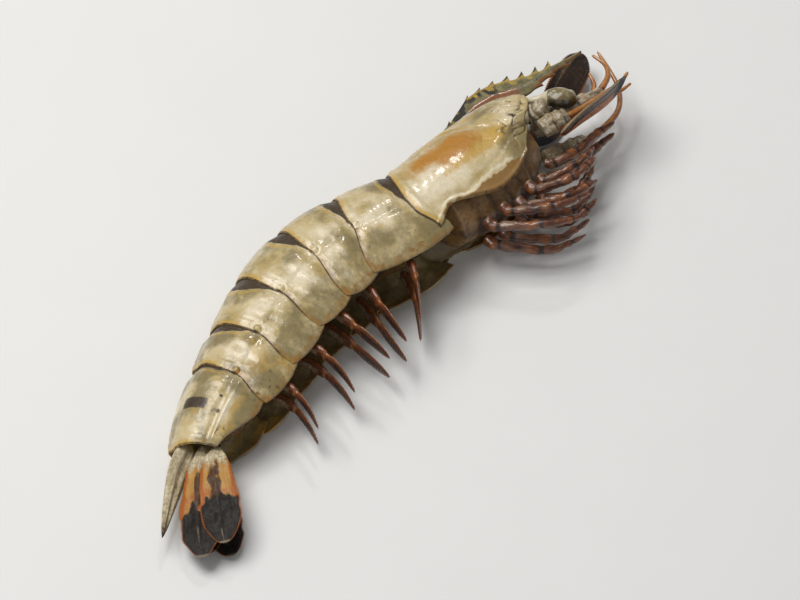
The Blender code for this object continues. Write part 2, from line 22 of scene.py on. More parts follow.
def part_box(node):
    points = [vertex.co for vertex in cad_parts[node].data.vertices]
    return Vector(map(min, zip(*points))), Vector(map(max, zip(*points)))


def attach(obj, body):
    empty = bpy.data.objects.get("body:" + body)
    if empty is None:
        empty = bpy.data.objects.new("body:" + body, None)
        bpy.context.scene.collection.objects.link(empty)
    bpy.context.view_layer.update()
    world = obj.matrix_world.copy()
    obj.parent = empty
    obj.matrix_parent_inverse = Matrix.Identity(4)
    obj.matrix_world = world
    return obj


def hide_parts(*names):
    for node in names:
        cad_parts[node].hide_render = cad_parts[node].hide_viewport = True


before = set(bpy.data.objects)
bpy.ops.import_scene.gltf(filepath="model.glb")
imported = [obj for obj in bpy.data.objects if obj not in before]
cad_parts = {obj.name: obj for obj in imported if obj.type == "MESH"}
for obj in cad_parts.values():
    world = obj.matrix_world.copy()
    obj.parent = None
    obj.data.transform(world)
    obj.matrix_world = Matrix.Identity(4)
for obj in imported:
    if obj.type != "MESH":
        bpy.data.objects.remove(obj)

Array = np.ndarray
Colour = tuple[float, float, float]
Stations = tuple[tuple[float, float], ...]
Place = tuple[float, float, float]
Path = tuple[Place, ...]
Socket = bpy.types.NodeSocket

LOG = logging.getLogger("prawn")
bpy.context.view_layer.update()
MM = 0.001

SHELL_LENGTH = 44.0  # head shell, from the eye notch to its rear edge
ROSTRUM_LENGTH = 26.0  # spike, ahead of the eye notch
SEGMENT_LENGTHS = (16.5, 14.5, 14.5, 14.3, 12.4, 21.5)  # of the six tail segments, on the centre line
HINGE_LEAN = (2.4, 1.3, 1.2, 0.3, 0.9, 0.0)  # how far each rear edge runs back, from the top to mid flank
WALL = 0.7  # thickness of every shell plate
PLAY = 0.4  # free space between a plate and what it covers
TUCK = 3.6  # how far a plate reaches in under the one ahead of it
FLOOR_CUT = 0.9  # how much of the flank the prawn's own weight presses flat
NEST = WALL + PLAY
HEAD_INSET = NEST + 1.2  # how far the head's flesh lies below the body's surface
TAIL_INSET = NEST + WALL + 0.6  # and the tail's
FLANK_ARC = 13.0  # millimetres that one unit of turn spans on the tail's flank
HEAD_ARC = 14.0  # on the head's flank
LAST_ARC = 11.0  # and on the last plate's
FIRST_KEELED = 5  # number of the first tail plate with a keel
SPOTTED = 5  # number of the plate with the orange spot at its hinge
HINGE_TURN = 1.04  # where two plates hinge on each other
HINGE_AHEAD = 0.9  # how far ahead of the rear edge the hinge sits
WHIP_RINGS = 60  # rings along a feeler's whip
LINE_POINTS = 241  # points that stand for a limb's path
UP = np.array((0.0, 0.0, 1.0))
JOINTS = tuple(sum(SEGMENT_LENGTHS[:k]) for k in range(len(SEGMENT_LENGTHS) + 1))
TAIL_END = JOINTS[-1]


def smooth(value: Array | float, low: float, high: float) -> Array:
    """A soft step: 0 at low, 1 at high, either of which may be the larger."""
    t = np.clip((np.asarray(value, float) - low) / (high - low), 0.0, 1.0)
    return t * t * (3 - 2 * t)


def hump(value: Array | float, middle: float, reach: float) -> Array:
    """A bell: 1 at the middle, and almost 0 at twice the reach."""
    return np.exp(-(((np.asarray(value, float) - middle) / reach) ** 2))


def hermite(stations: Stations, places: Array | float) -> Array:
    """Reads the smooth curve through some stations.

    Args:
        stations: (place, value) pairs in order of place.
        places: where the curve is read. Past the ends it keeps its end values.

    Returns:
        The values there.
    """
    knots, values = np.array(stations, float).T
    places = np.clip(np.asarray(places, float), knots[0], knots[-1])
    k = np.clip(np.searchsorted(knots, places, side="right") - 1, 0, len(knots) - 2)
    before = np.maximum(k - 1, 0)
    after = np.minimum(k + 2, len(knots) - 1)
    span = knots[k + 1] - knots[k]
    t = (places - knots[k]) / span
    leave = (values[k + 1] - values[before]) / (knots[k + 1] - knots[before]) * span
    arrive = (values[after] - values[k]) / (knots[after] - knots[k]) * span
    return (values[k] * (2 * t**3 - 3 * t**2 + 1) + leave * (t**3 - 2 * t**2 + t)
            + values[k + 1] * (3 * t**2 - 2 * t**3) + arrive * (t**3 - t**2))


def ripple(places: Array, size: float, seed: float = 0.0) -> Array:
    """Gentle unevenness, from -1 to 1, over an array of points.

    Args:
        places: (..., 3) points in millimetres.
        size: the width of one swell, in millimetres.
        seed: moves the pattern, so that two pieces differ.

    Returns:
        One value a point.
    """
    flat = places.reshape(-1, 3) / size + seed
    return np.array([noise.noise(Vector(p)) for p in flat]).reshape(places.shape[:-1])


@dataclass
class Body:
    """The prawn's spine and outline, and the way from body coordinates to the frame."""

    half_width: Stations = ((-60, 6.0), (-46, 9.0), (-34, 11.0), (-18, 12.5), (0, 12.3), (16, 12.3),
                            (31, 12.0), (45, 11.2), (60, 10.2), (72, 9.2), (83, 8.0), (94, 6.4))
    back_height: Stations = ((-60, 9.0), (-46, 11.9), (-30, 13.3), (-14, 13.8), (-2, 13.8), (9, 15.0),
                             (24, 15.4), (38, 14.8), (52, 13.6), (66, 12.2), (80, 10.6), (94, 8.2))
    belly_depth: Stations = ((-60, 7.0), (-46, 10.5), (-30, 15.0), (-12, 16.5), (0, 15.5), (16, 16.0),
                             (31, 17.0), (45, 16.2), (60, 14.6), (72, 13.0), (83, 11.0), (94, 8.0))
    heading: Stations = ((-80, -24), (-60, -21), (-45, -17), (-30, -11), (-15, -9), (-3, -14), (8, -24),
                         (20, -22), (30, -12), (38, -4), (50, 7), (64, 9), (80, 9), (90, 16), (98, 30),
                         (125, 36))
    head_draw_in: float = 0.40  # how far the lower edge draws in, as a share of the half width
    tail_draw_in: float = 0.34
    keel: float = 0.8  # height of the low keel near the tail
    shift: Array = field(default_factory=lambda: np.zeros(3))

    def __post_init__(self) -> None:
        """Works out the spine's course."""
        self.places = np.linspace(-90, 140, 921)
        self.angles = np.radians(hermite(self.heading, self.places))
        step = self.places[1] - self.places[0]
        x = -np.cumsum(np.cos(self.angles)) * step
        y = -np.cumsum(np.sin(self.angles)) * step
        start = np.searchsorted(self.places, 0.0)
        self.x, self.y = x - x[start], y - y[start]

    def height(self, s: Array) -> Array:
        """Height of the spine: level along the head, then down with the tail's width."""
        level, low = hermite(self.half_width, 0.0) - FLOOR_CUT, hermite(self.half_width, s) - FLOOR_CUT
        return level + (low - level) * smooth(s, 6, 40)

    def point(self, s: Array | float, lateral: Array | float, dorsal: Array | float) -> Array:
        """Turns body coordinates into the frame's, all in millimetres.

        Args:
            s: place on the spine.
            lateral: offset towards the right flank.
            dorsal: offset towards the back.

        Returns:
            Points, as an array whose last axis is x, y, z.
        """
        s, lateral, dorsal = np.broadcast_arrays(s, lateral, dorsal)
        angle = np.interp(s, self.places, self.angles)
        x = np.interp(s, self.places, self.x) - np.sin(angle) * dorsal
        y = np.interp(s, self.places, self.y) + np.cos(angle) * dorsal
        return np.stack([x, y, self.height(s) + lateral], axis=-1) + self.shift

    def section(self, s: Array, turn: Array, inset: Array | float) -> tuple[Array, Array]:
        """The body's outline, or one that lies inset below it.

        Args:
            s: place on the spine.
            turn: way round the body.
            inset: depth below the surface.

        Returns:
            (lateral, dorsal) of each point.
        """
        width = hermite(self.half_width, s) - inset
        size = np.abs(turn)
        keel = self.keel * smooth(s, 44, 66) * smooth(size, 0.2, 0.0)
        angle = np.minimum(size, 1.0) * math.pi / 2
        upper_lateral = width * np.sin(angle) ** 0.88
        upper_dorsal = (hermite(self.back_height, s) - inset) * np.maximum(np.cos(angle), 0.0) ** 0.94 + keel
        down = np.maximum(size - 1, 0.0)
        draw_in = np.where(np.asarray(s) < 0, self.head_draw_in, self.tail_draw_in)
        lower_lateral = width * (1 - draw_in * down**2)
        lower_dorsal = -(hermite(self.belly_depth, s) - 0.6 * inset) * down
        lateral = np.where(size <= 1, upper_lateral, lower_lateral)
        dorsal = np.where(size <= 1, upper_dorsal, lower_dorsal)
        return np.copysign(lateral, turn), dorsal

    def skin(self, s: Array, turn: Array, inset: Array | float = 0.0) -> Array:
        """Points on the body's surface, or inset below it, pressed flat where they meet the floor.

        Args:
            s: place on the spine.
            turn: way round the body.
            inset: depth below the surface.

        Returns:
            The points, in millimetres.
        """
        points = self.point(s, *self.section(s, turn, inset))
        points[..., 2] = np.maximum(points[..., 2], np.asarray(inset) + self.shift[2])
        return points

    def unbent(self, s: Array, turn: Array) -> Array:
        """The same surface with the spine laid straight: what the finishes' patterns are read from."""
        lateral, dorsal = self.section(s, turn, 0.0)
        return np.stack([np.broadcast_to(s, lateral.shape), lateral, dorsal], axis=-1)

    def direction(self, s: float, lateral: float, dorsal: float) -> Array:
        """A direction across the spine at a place on it."""
        return self.point(s, lateral, dorsal) - self.point(s, 0, 0)


class Zone(Enum):
    """A mask on a piece's vertices, from 0 to 1: the attribute that holds it, and which of its numbers."""

    DARK = ("zones", 0)
    GOLD = ("zones", 1)
    BROWN = ("zones", 2)
    GREEN = ("marks", 0)
    ORANGE = ("marks", 1)
    PALE = ("marks", 2)


Masks = dict[Zone, Array]
Pattern = Callable[[Array, Array, Array], Masks]


@dataclass
class Surface:
    """A mesh in the making: points in millimetres, faces, unbent places and masks, one row a vertex."""

    points: Array
    faces: list[list[int]]
    unbent: Array
    zones: Masks

    def mesh(self, name: str) -> bpy.types.Mesh:
        """Makes the Blender mesh, in metres, with its places and masks as attributes.

        Args:
            name: the mesh's name.

        Returns:
            The mesh, shaded smooth.
        """
        made = bpy.data.meshes.new(name)
        made.from_pydata((self.points * MM).tolist(), [], self.faces)
        made.validate()
        channels = {"body": self.unbent}
        channels |= {name: np.zeros_like(self.unbent) for name in ("zones", "marks")}
        for zone, mask in self.zones.items():
            attribute, channel = zone.value
            channels[attribute][:, channel] = np.clip(mask, 0.0, 1.0)
        for attribute, values in channels.items():
            layer = made.attributes.new(attribute, "FLOAT_VECTOR", "POINT")
            layer.data.foreach_set("vector", values.astype(np.float32).ravel())
        made.shade_smooth()
        return made


def grid_faces(rows: int, columns: int, start: int = 0, flip: bool = False) -> list[list[int]]:
    """Faces of an open grid of rows times columns vertices, numbered from start.

    Args:
        rows: rows of vertices.
        columns: vertices in a row.
        start: number of the first vertex.
        flip: True turns the faces over.

    Returns:
        The faces, by their four vertices.
    """
    index = np.arange(rows * columns).reshape(rows, columns) + start
    quads = np.stack([index[:-1, :-1], index[:-1, 1:], index[1:, 1:], index[1:, :-1]], axis=-1).reshape(-1, 4)
    return (quads[:, ::-1] if flip else quads).tolist()


def walled_surface(outer: Array, inner: Array, unbent: Array, zones: Masks) -> Surface:
    """A closed wall between an outer and an inner grid.

    Args:
        outer: (rows, columns, 3) points, in millimetres.
        inner: the same for the inner side.
        unbent: the outer grid's unbent places.
        zones: the outer grid's masks.

    Returns:
        The wall, with its border closed.
    """
    rows, columns = outer.shape[:2]
    count = rows * columns
    index = np.arange(count).reshape(rows, columns)
    border = np.concatenate([index[0, :-1], index[:-1, -1], index[-1, :0:-1], index[:0:-1, 0]])
    ahead = np.roll(border, -1)
    rim = np.stack([border, border + count, ahead + count, ahead], axis=-1).tolist()
    faces = grid_faces(rows, columns) + grid_faces(rows, columns, count, flip=True) + rim
    points = np.concatenate([outer.reshape(-1, 3), inner.reshape(-1, 3)])
    twice = np.concatenate([unbent.reshape(-1, 3)] * 2)
    return Surface(points, faces, twice, {zone: np.concatenate([m.ravel()] * 2) for zone, m in zones.items()})


def ringed_surface(rings: Array, unbent: Array, zones: Masks) -> Surface:
    """A closed tube through rings of vertices, with a point at each end.

    Args:
        rings: (rows, columns, 3) points, in millimetres, each row going once round.
        unbent: the rings' unbent places.
        zones: the rings' masks.

    Returns:
        The tube, with its ends closed by fans.
    """
    rows, columns = rings.shape[:2]
    index = np.arange(rows * columns).reshape(rows, columns)
    following = np.roll(index, -1, axis=1)
    quads = np.stack([index[:-1], following[:-1], following[1:], index[1:]], axis=-1).reshape(-1, 4).tolist()
    first, last = rows * columns, rows * columns + 1
    fans = [[first, following[0, k], index[0, k]] for k in range(columns)]
    fans += [[last, index[-1, k], following[-1, k]] for k in range(columns)]

    def with_ends(values: Array) -> Array:
        """Adds the two end vertices' values to those of the rings."""
        ends = np.stack([values[0].mean(axis=0), values[-1].mean(axis=0)])
        return np.concatenate([values.reshape(-1, *values.shape[2:]), ends])

    masks = {zone: with_ends(mask) for zone, mask in zones.items()}
    return Surface(with_ends(rings), quads + fans, with_ends(unbent), masks)


def catmull(points: Sequence[Array], count: int) -> Array:
    """Reads a smooth curve through the given points at even shares of its spans.

    Args:
        points: what the curve runs through.
        count: how many places are read.

    Returns:
        The places, one row each.
    """
    knots = np.array([np.asarray(p, float) for p in points])
    knots = np.concatenate([[2 * knots[0] - knots[1]], knots, [2 * knots[-1] - knots[-2]]])
    spans = len(knots) - 3
    where = np.minimum(np.linspace(0, spans, count), spans - 1e-9)
    k = where.astype(int)
    t = (where - k)[:, None]
    a, b, c, d = (knots[k + n] for n in range(4))
    return 0.5 * (2 * b + (c - a) * t + (2 * a - 5 * b + 4 * c - d) * t**2 + (3 * b - a - 3 * c + d) * t**3)


@dataclass
class Tube:
    """A limb or blade drawn along a path: its width lies along one direction, its thickness across that."""

    path: Sequence[Array]
    across: Array
    half_width: Stations
    half_thickness: Stations
    rows: int = 60
    columns: int = 24
    cup: float = 0.0  # how far the edges bend out of the plane, as a share of the width
    blunt: float = 0.06  # share of the length over which each end rounds off
    relief: Callable[[Array, Array, Array], Array] | None = None  # of share, spread and rise, in millimetres
    fringe: Callable[[Array], Array] | None = None  # length of the edge hairs at a share, in millimetres
    lumps: float = 0.0  # height of the unevenness, in millimetres
    lump_size: float = 2.0

    def shares(self) -> Array:
        """Shares of the length at which the rings stand, closer together at the ends."""
        even = np.linspace(0, 1, self.rows)
        return 0.55 * even + 0.45 * (0.5 - 0.5 * np.cos(math.pi * even))

    def frames(self, share: Array) -> tuple[Array, Array, Array]:
        """Where each ring stands and how it lies.

        Args:
            share: shares of the length.

        Returns:
            The ring centres, their width directions and their thickness directions.
        """
        line = catmull(self.path, LINE_POINTS)
        slope = np.gradient(line, axis=0)
        steps = np.arange(LINE_POINTS)
        where = share * (LINE_POINTS - 1)
        centre, along = (np.stack([np.interp(where, steps, values[:, axis]) for axis in range(3)], axis=-1)
                         for values in (line, slope))
        along /= np.linalg.norm(along, axis=-1, keepdims=True)
        side = self.across - along * (along @ self.across)[:, None]
        side /= np.linalg.norm(side, axis=-1, keepdims=True)
        return centre, side, np.cross(along, side)

    def surface(self, zones: Pattern) -> Surface:
        """Makes the closed surface.

        Args:
            zones: gives the masks at a share, spread and rise.

        Returns:
            The surface, whose unbent places are length, width and thickness in millimetres.
        """
        share = self.shares()
        centre, side, normal = self.frames(share)
        ends = np.minimum(np.minimum(share, 1 - share) / self.blunt, 1.0)
        rounding = np.sqrt(np.maximum(1 - (1 - ends) ** 2, 0.0015))
        width = (hermite(self.half_width, share) * rounding)[:, None]
        thick = (hermite(self.half_thickness, share) * rounding)[:, None]
        angle = np.linspace(0, 2 * math.pi, self.columns, endpoint=False)
        shares, spread, rise = np.broadcast_arrays(share[:, None], np.cos(angle), np.sin(angle))
        outward = self.relief(shares, spread, rise) * rounding[:, None] if self.relief else 0.0
        hairs = 0.0
        if self.fringe:
            comb = (np.arange(self.rows) % 2)[:, None] * np.abs(spread) ** 40
            hairs = comb * self.fringe(shares)
        flat = width * spread + np.sign(spread) * hairs
        tall = thick * rise + self.cup * width * spread**2 + outward * rise
        rings = centre[:, None] + side[:, None] * flat[..., None] + normal[:, None] * tall[..., None]
        if self.lumps:
            outwards = side[:, None] * spread[..., None] + normal[:, None] * rise[..., None]
            swell = self.lumps * rounding[:, None] * ripple(rings, self.lump_size)
            rings = rings + outwards * swell[..., None]
        length = np.linalg.norm(np.diff(catmull(self.path, 60), axis=0), axis=-1).sum()
        unbent = np.stack(np.broadcast_arrays(shares * length, flat, tall), axis=-1)
        return ringed_surface(rings, unbent, zones(shares, spread, rise))


class Network:
    """Adds shader nodes to a node tree and joins them, in few words."""

    def __init__(self, tree: bpy.types.NodeTree) -> None:
        """Starts on an empty or part-built tree."""
        self.tree = tree
        self.column = 0

    def add(self, kind: str, inputs: Mapping[Any, Any] | None = None, **settings: Any) -> bpy.types.Node:
        """Adds one node.

        Args:
            kind: the node's type, without the ShaderNode at its start.
            inputs: values or sockets for its inputs, by name or number.
            **settings: its own properties.

        Returns:
            The node.
        """
        node = self.tree.nodes.new(kind if kind.startswith("Node") else "ShaderNode" + kind)
        node.location = (self.column * 180, 0)
        self.column += 1
        for name, value in settings.items():
            setattr(node, name, value)
        for name, value in (inputs or {}).items():
            if isinstance(value, Socket):
                self.tree.links.new(value, node.inputs[name])
            else:
                node.inputs[name].default_value = value
        return node

    def math(self, operation: str, first: Any, second: Any = 0.0) -> Socket:
        """The result of one Math node."""
        return self.add("Math", {0: first, 1: second}, operation=operation).outputs[0]

    def step(self, value: Any, low: Any, high: Any) -> Socket:
        """A soft step from 0 at low to 1 at high."""
        inputs = {"Value": value, "From Min": low, "From Max": high}
        return self.add("MapRange", inputs, interpolation_type="SMOOTHSTEP").outputs["Result"]

    def mix(self, factor: Any, first: Any, second: Any) -> Socket:
        """One colour laid over another, which for a Mix node are its inputs 6 and 7."""
        below, above = ((*value, 1.0) if isinstance(value, tuple) else value for value in (first, second))
        return self.add("Mix", {0: factor, 6: below, 7: above}, data_type="RGBA").outputs[2]

    def attribute(self, name: str) -> Socket:
        """The vector that the mesh carries under a name."""
        return self.add("Attribute", attribute_name=name).outputs["Vector"]

    def zone(self, zone: Zone) -> Socket:
        """One of the masks that the mesh carries."""
        attribute, channel = zone.value
        return self.add("SeparateXYZ", {0: self.attribute(attribute)}).outputs[channel]

    def stretched(self, vector: Any, scale: Any) -> Socket:
        """A vector times a scale for each axis."""
        return self.add("VectorMath", {0: vector, 1: scale}, operation="MULTIPLY").outputs[0]

    def noise(self, vector: Any, scale: Any, detail: float = 2.0, rough: float = 0.5) -> Socket:
        """Fractal noise, from 0 to 1."""
        inputs = {"Vector": vector, "Scale": scale, "Detail": detail, "Roughness": rough}
        return self.add("TexNoise", inputs).outputs["Fac"]


class Effect:
    """A shader node group that several finishes share, built once."""

    name = ""
    inputs: tuple[str, ...] = ()
    outputs: tuple[str, ...] = ()

    def tree(self) -> bpy.types.NodeTree:
        """The group's tree, made on first use.

        Returns:
            The tree.
        """
        found = bpy.data.node_groups.get(self.name)
        if found:
            return found
        tree = bpy.data.node_groups.new(self.name, "ShaderNodeTree")
        for way, names in (("INPUT", self.inputs), ("OUTPUT", self.outputs)):
            for name in names:
                tree.interface.new_socket(name, in_out=way, socket_type="NodeSocketFloat")
        net = Network(tree)
        given = net.add("NodeGroupInput").outputs
        results = self.wire(net, given)
        net.add("NodeGroupOutput", {name: results[name] for name in self.outputs})
        return tree

    def wire(self, net: Network, given: Any) -> dict[str, Socket]:
        """Joins the group's nodes.

        Args:
            net: where the nodes go.
            given: the group's input sockets.

        Returns:
            The socket for each output.
        """
        raise NotImplementedError

    def place(self, net: Network, **values: Any) -> bpy.types.NodeOutputs:
        """Adds the group to a material, with its own values, and returns the outputs.

        Args:
            net: the material's network.
            **values: values or sockets for the group's inputs, by name.

        Returns:
            The group's outputs.
        """
        node = net.add("Group", node_tree=self.tree())
        for name, value in values.items():
            socket = node.inputs[name.replace("_", " ").capitalize()]
            if isinstance(value, Socket):
                net.tree.links.new(value, socket)
            else:
                socket.default_value = value
        return node.outputs


class FrayedZone(Effect):
    """Gives a mask an uneven, stained edge."""

    name = "Frayed zone"
    inputs = ("Amount", "Fray", "Grain", "Softness", "Seed")
    outputs = ("Mask",)

    def wire(self, net: Network, given: Any) -> dict[str, Socket]:
        """Shifts the mask by noise, then steps it.

        Args:
            net: where the nodes go.
            given: the group's inputs.

        Returns:
            The mask's socket.
        """
        moved = {0: net.attribute("body"), 1: given["Seed"]}
        places = net.add("VectorMath", moved, operation="ADD").outputs[0]
        grain = net.noise(places, given["Grain"], 3.0, 0.6)
        shift = net.math("MULTIPLY", net.math("SUBTRACT", grain, 0.5), given["Fray"])
        shifted = net.math("ADD", given["Amount"], net.math("MULTIPLY", shift, 2.0))
        low = net.math("SUBTRACT", 0.5, given["Softness"])
        high = net.math("ADD", 0.5, given["Softness"])
        present = net.step(given["Amount"], 0.02, 0.15)
        return {"Mask": net.math("MULTIPLY", net.step(shifted, low, high), present)}


class Mottle(Effect):
    """The shell's cloudiness: broad clouds, smaller blotches, thin veins and fine dark specks."""

    name = "Mottle"
    inputs = ("Cloud size", "Blotch size", "Vein size", "Speck size", "Specks")
    outputs = ("Clouds", "Blotches", "Veins", "Specks")

    def wire(self, net: Network, given: Any) -> dict[str, Socket]:
        """Reads four noises, of which the veins follow the middle level of theirs.

        Args:
            net: where the nodes go.
            given: the group's input sockets.

        Returns:
            The sockets of the four masks.
        """
        places = net.attribute("body")
        sizes = [net.math("DIVIDE", 1.0, given[name]) for name in self.inputs[:4]]
        clouds = net.noise(net.stretched(places, (1.0, 0.75, 0.75)), sizes[0], 3.0, 0.55)
        blotches = net.noise(net.stretched(places, (1.0, 0.9, 0.9)), sizes[1], 4.0, 0.65)
        level = net.math("ABSOLUTE", net.math("SUBTRACT", net.noise(places, sizes[2], 3.0, 0.6), 0.5))
        specks = net.noise(places, sizes[3], 2.0, 0.7)
        rare = net.math("SUBTRACT", 0.80, net.math("MULTIPLY", given["Specks"], 0.22))
        return {
            "Clouds": net.step(clouds, 0.36, 0.62),
            "Blotches": net.step(blotches, 0.42, 0.66),
            "Veins": net.step(level, 0.035, 0.0),
            "Specks": net.step(specks, rare, net.math("ADD", rare, 0.06)),
        }


class Fibres(Effect):
    """Fine streaks along a limb or blade."""

    name = "Fibres"
    inputs = ("Width", "Length")
    outputs = ("Streaks",)

    def wire(self, net: Network, given: Any) -> dict[str, Socket]:
        """Reads noise that is drawn out along the piece.

        Args:
            net: where the nodes go.
            given: the group's input sockets.

        Returns:
            The socket of the streaks.
        """
        across = net.math("DIVIDE", 1.0, given["Width"])
        along = net.math("DIVIDE", 1.0, given["Length"])
        scale = net.add("CombineXYZ", {0: along, 1: across, 2: across}).outputs[0]
        places = net.stretched(net.attribute("body"), scale)
        return {"Streaks": net.step(net.noise(places, 1.0, 3.0, 0.6), 0.38, 0.66)}


class WetRelief(Effect):
    """Height of the fine relief: pits, low waves and wrinkles under the water film."""

    name = "Wet relief"
    inputs = ("Pit size", "Wave size", "Wrinkles")
    outputs = ("Height",)

    def wire(self, net: Network, given: Any) -> dict[str, Socket]:
        """Adds pits, waves and wrinkles.

        Args:
            net: where the nodes go.
            given: the group's input sockets.

        Returns:
            The height's socket.
        """
        places = net.attribute("body")
        pits = net.noise(places, net.math("DIVIDE", 1.0, given["Pit size"]), 2.0, 0.6)
        waves = net.noise(places, net.math("DIVIDE", 1.0, given["Wave size"]), 2.0, 0.5)
        creases = net.noise(net.stretched(places, (2.4, 0.8, 0.8)), 0.8, 4.0, 0.7)
        low = net.math("ADD", net.math("MULTIPLY", pits, 0.25), waves)
        return {"Height": net.math("ADD", low, net.math("MULTIPLY", creases, given["Wrinkles"]))}


FRAYED_ZONE = FrayedZone()
MOTTLE = Mottle()
FIBRES = Fibres()
WET_RELIEF = WetRelief()


@dataclass(frozen=True)
class Stain:
    """A colour that lies over the base where one of the piece's masks is strong."""

    zone: Zone
    colour: Colour
    fray: float = 0.5
    grain: float = 0.9
    softness: float = 0.4
    strength: float = 1.0


@dataclass(frozen=True)
class Finish:
    """A wet, mottled surface: base colours, stains (in some finishes also painted shade and painted
    highlights), streaks, gloss and fine relief.
    """

    name: str
    base: Colour
    cloud: Colour
    blotch: Colour
    speck: Colour
    stains: tuple[Stain, ...] = ()
    cloud_size: float = 3.0
    blotch_size: float = 1.4
    vein_size: float = 2.2
    vein_strength: float = 0.3
    speck_size: float = 0.35
    specks: float = 0.3
    blotch_strength: float = 0.5
    green_zone: bool = False  # blotches gather where the piece says
    streak_colour: Colour | None = None
    streak_width: float = 0.5
    streak_length: float = 8.0
    streak_strength: float = 0.5
    over_stains: float = 0.0  # how strongly the streaks show over the stains
    rough_low: float = 0.22
    rough_high: float = 0.48
    coat: float = 0.3
    coat_roughness: float = 0.08
    bump: float = 0.7
    bump_depth: float = 0.12  # millimetres
    pit_size: float = 0.35
    wave_size: float = 2.2
    wrinkles: float = 0.3
    specular: float = 0.5

    def colours(self, net: Network) -> tuple[Socket, Socket]:
        """Lays the colours over each other.

        Args:
            net: the material's network.

        Returns:
            The colour, and the blotches' mask.
        """
        mottle = MOTTLE.place(net, cloud_size=self.cloud_size, blotch_size=self.blotch_size,
                              vein_size=self.vein_size, speck_size=self.speck_size, specks=self.specks)
        colour = net.mix(mottle["Clouds"], self.base, self.cloud)
        gathered = net.math("MULTIPLY", mottle["Blotches"], self.blotch_strength)
        if self.green_zone:
            here = net.math("ADD", net.math("MULTIPLY", net.zone(Zone.GREEN), 0.85), 0.15)
            gathered = net.math("MULTIPLY", gathered, here)
        colour = net.mix(gathered, colour, self.blotch)
        streaks = None
        if self.streak_colour:
            streaks = FIBRES.place(net, width=self.streak_width, length=self.streak_length)["Streaks"]
            colour = net.mix(net.math("MULTIPLY", streaks, self.streak_strength), colour, self.streak_colour)
        for number, stain in enumerate(self.stains):
            mask = FRAYED_ZONE.place(net, amount=net.zone(stain.zone), fray=stain.fray, grain=stain.grain,
                                     softness=stain.softness, seed=3.7 * number)["Mask"]
            colour = net.mix(net.math("MULTIPLY", mask, stain.strength), colour, stain.colour)
        if streaks and self.over_stains:
            colour = net.mix(net.math("MULTIPLY", streaks, self.over_stains), colour, self.speck)
        colour = net.mix(net.math("MULTIPLY", mottle["Veins"], self.vein_strength), colour, self.blotch)
        colour = net.mix(mottle["Specks"], colour, self.speck)
        return colour, mottle["Blotches"]

    def material(self) -> bpy.types.Material:
        """The finish as a material, made on first use.

        Returns:
            The material.
        """
        found = bpy.data.materials.get(self.name)
        if found:
            return found
        made = bpy.data.materials.new(self.name)
        made.use_nodes = True
        shader = made.node_tree.nodes["Principled BSDF"]
        net = Network(made.node_tree)
        colour, blotches = self.colours(net)
        height = WET_RELIEF.place(net, pit_size=self.pit_size, wave_size=self.wave_size,
                                  wrinkles=self.wrinkles)["Height"]
        span = self.rough_high - self.rough_low
        roughness = net.math("ADD", net.math("MULTIPLY", blotches, span), self.rough_low)
        roughness = net.math("ADD", roughness, net.math("MULTIPLY", net.zone(Zone.DARK), 0.2))
        bump = net.add("Bump", {"Strength": self.bump, "Distance": self.bump_depth * MM, "Height": height})
        links = made.node_tree.links
        links.new(colour, shader.inputs["Base Color"])
        links.new(roughness, shader.inputs["Roughness"])
        links.new(bump.outputs["Normal"], shader.inputs["Normal"])
        wet = net.math("SUBTRACT", 1.0, net.math("MULTIPLY", net.zone(Zone.DARK), 0.75))
        links.new(net.math("MULTIPLY", wet, self.coat), shader.inputs["Coat Weight"])
        shader.inputs["Coat Roughness"].default_value = self.coat_roughness
        shader.inputs["Specular IOR Level"].default_value = self.specular
        return made


SHELL = Finish(
    "Wet shell", base=(0.63, 0.51, 0.285), cloud=(0.50, 0.375, 0.155), blotch=(0.16, 0.13, 0.055),
    speck=(0.05, 0.035, 0.02), green_zone=True, blotch_strength=0.9, specks=0.38, cloud_size=6.5,
    stains=(
        # Cream and whitish patches; on the tail plates also the painted sheen at mid flank.
        Stain(Zone.PALE, (0.80, 0.71, 0.53), fray=0.60, grain=0.35, strength=0.8),
        # Olive smudges and clouds; also painted shade towards the tail's lower edge, behind the dark bands
        # and on the lower front cheek.
        Stain(Zone.GREEN, (0.21, 0.165, 0.07), fray=0.6, grain=0.35, softness=0.38, strength=0.8),
        # Brown see-through parts, hinge triangles, red lines and streaks; also painted shade on the lower
        # front cheek and the last plate's lower side.
        Stain(Zone.BROWN, (0.26, 0.13, 0.03), fray=0.35, grain=0.5, softness=0.16, strength=0.92),
        Stain(Zone.GOLD, (0.54, 0.33, 0.055), grain=0.6, strength=0.88),
        Stain(Zone.ORANGE, (0.46, 0.20, 0.020), fray=0.6, grain=0.35, softness=0.42, strength=0.98),
        # Dark bands, lines, spots and outlines; also painted shade in the cheek's creases.
        Stain(Zone.DARK, (0.036, 0.017, 0.006), fray=0.35, grain=0.8, softness=0.22, strength=0.97),
    ),
    vein_size=2.6, vein_strength=0.14, rough_low=0.24, rough_high=0.50, coat=0.4, coat_roughness=0.10,
    bump=0.8, bump_depth=0.16, wave_size=1.5, wrinkles=0.5,
)
SPIKE = Finish(
    "Wet spike", base=(0.25, 0.225, 0.09), cloud=(0.14, 0.12, 0.05), blotch=(0.06, 0.05, 0.02),
    speck=(0.03, 0.02, 0.015), blotch_strength=0.6, blotch_size=0.8,
    streak_colour=(0.46, 0.42, 0.24), streak_width=0.35, streak_length=5.0, streak_strength=0.4,
    stains=(
        Stain(Zone.ORANGE, (0.27, 0.095, 0.025), softness=0.35),
        Stain(Zone.PALE, (0.58, 0.40, 0.38), strength=0.75),
        Stain(Zone.DARK, (0.018, 0.016, 0.015), softness=0.25, strength=0.95),
        Stain(Zone.GOLD, (0.50, 0.33, 0.06), grain=1.2, softness=0.3, strength=0.9),
    ),
    coat=0.25, rough_low=0.26, rough_high=0.5, bump=0.8, wrinkles=0.6, specular=0.4, over_stains=0.3,
)
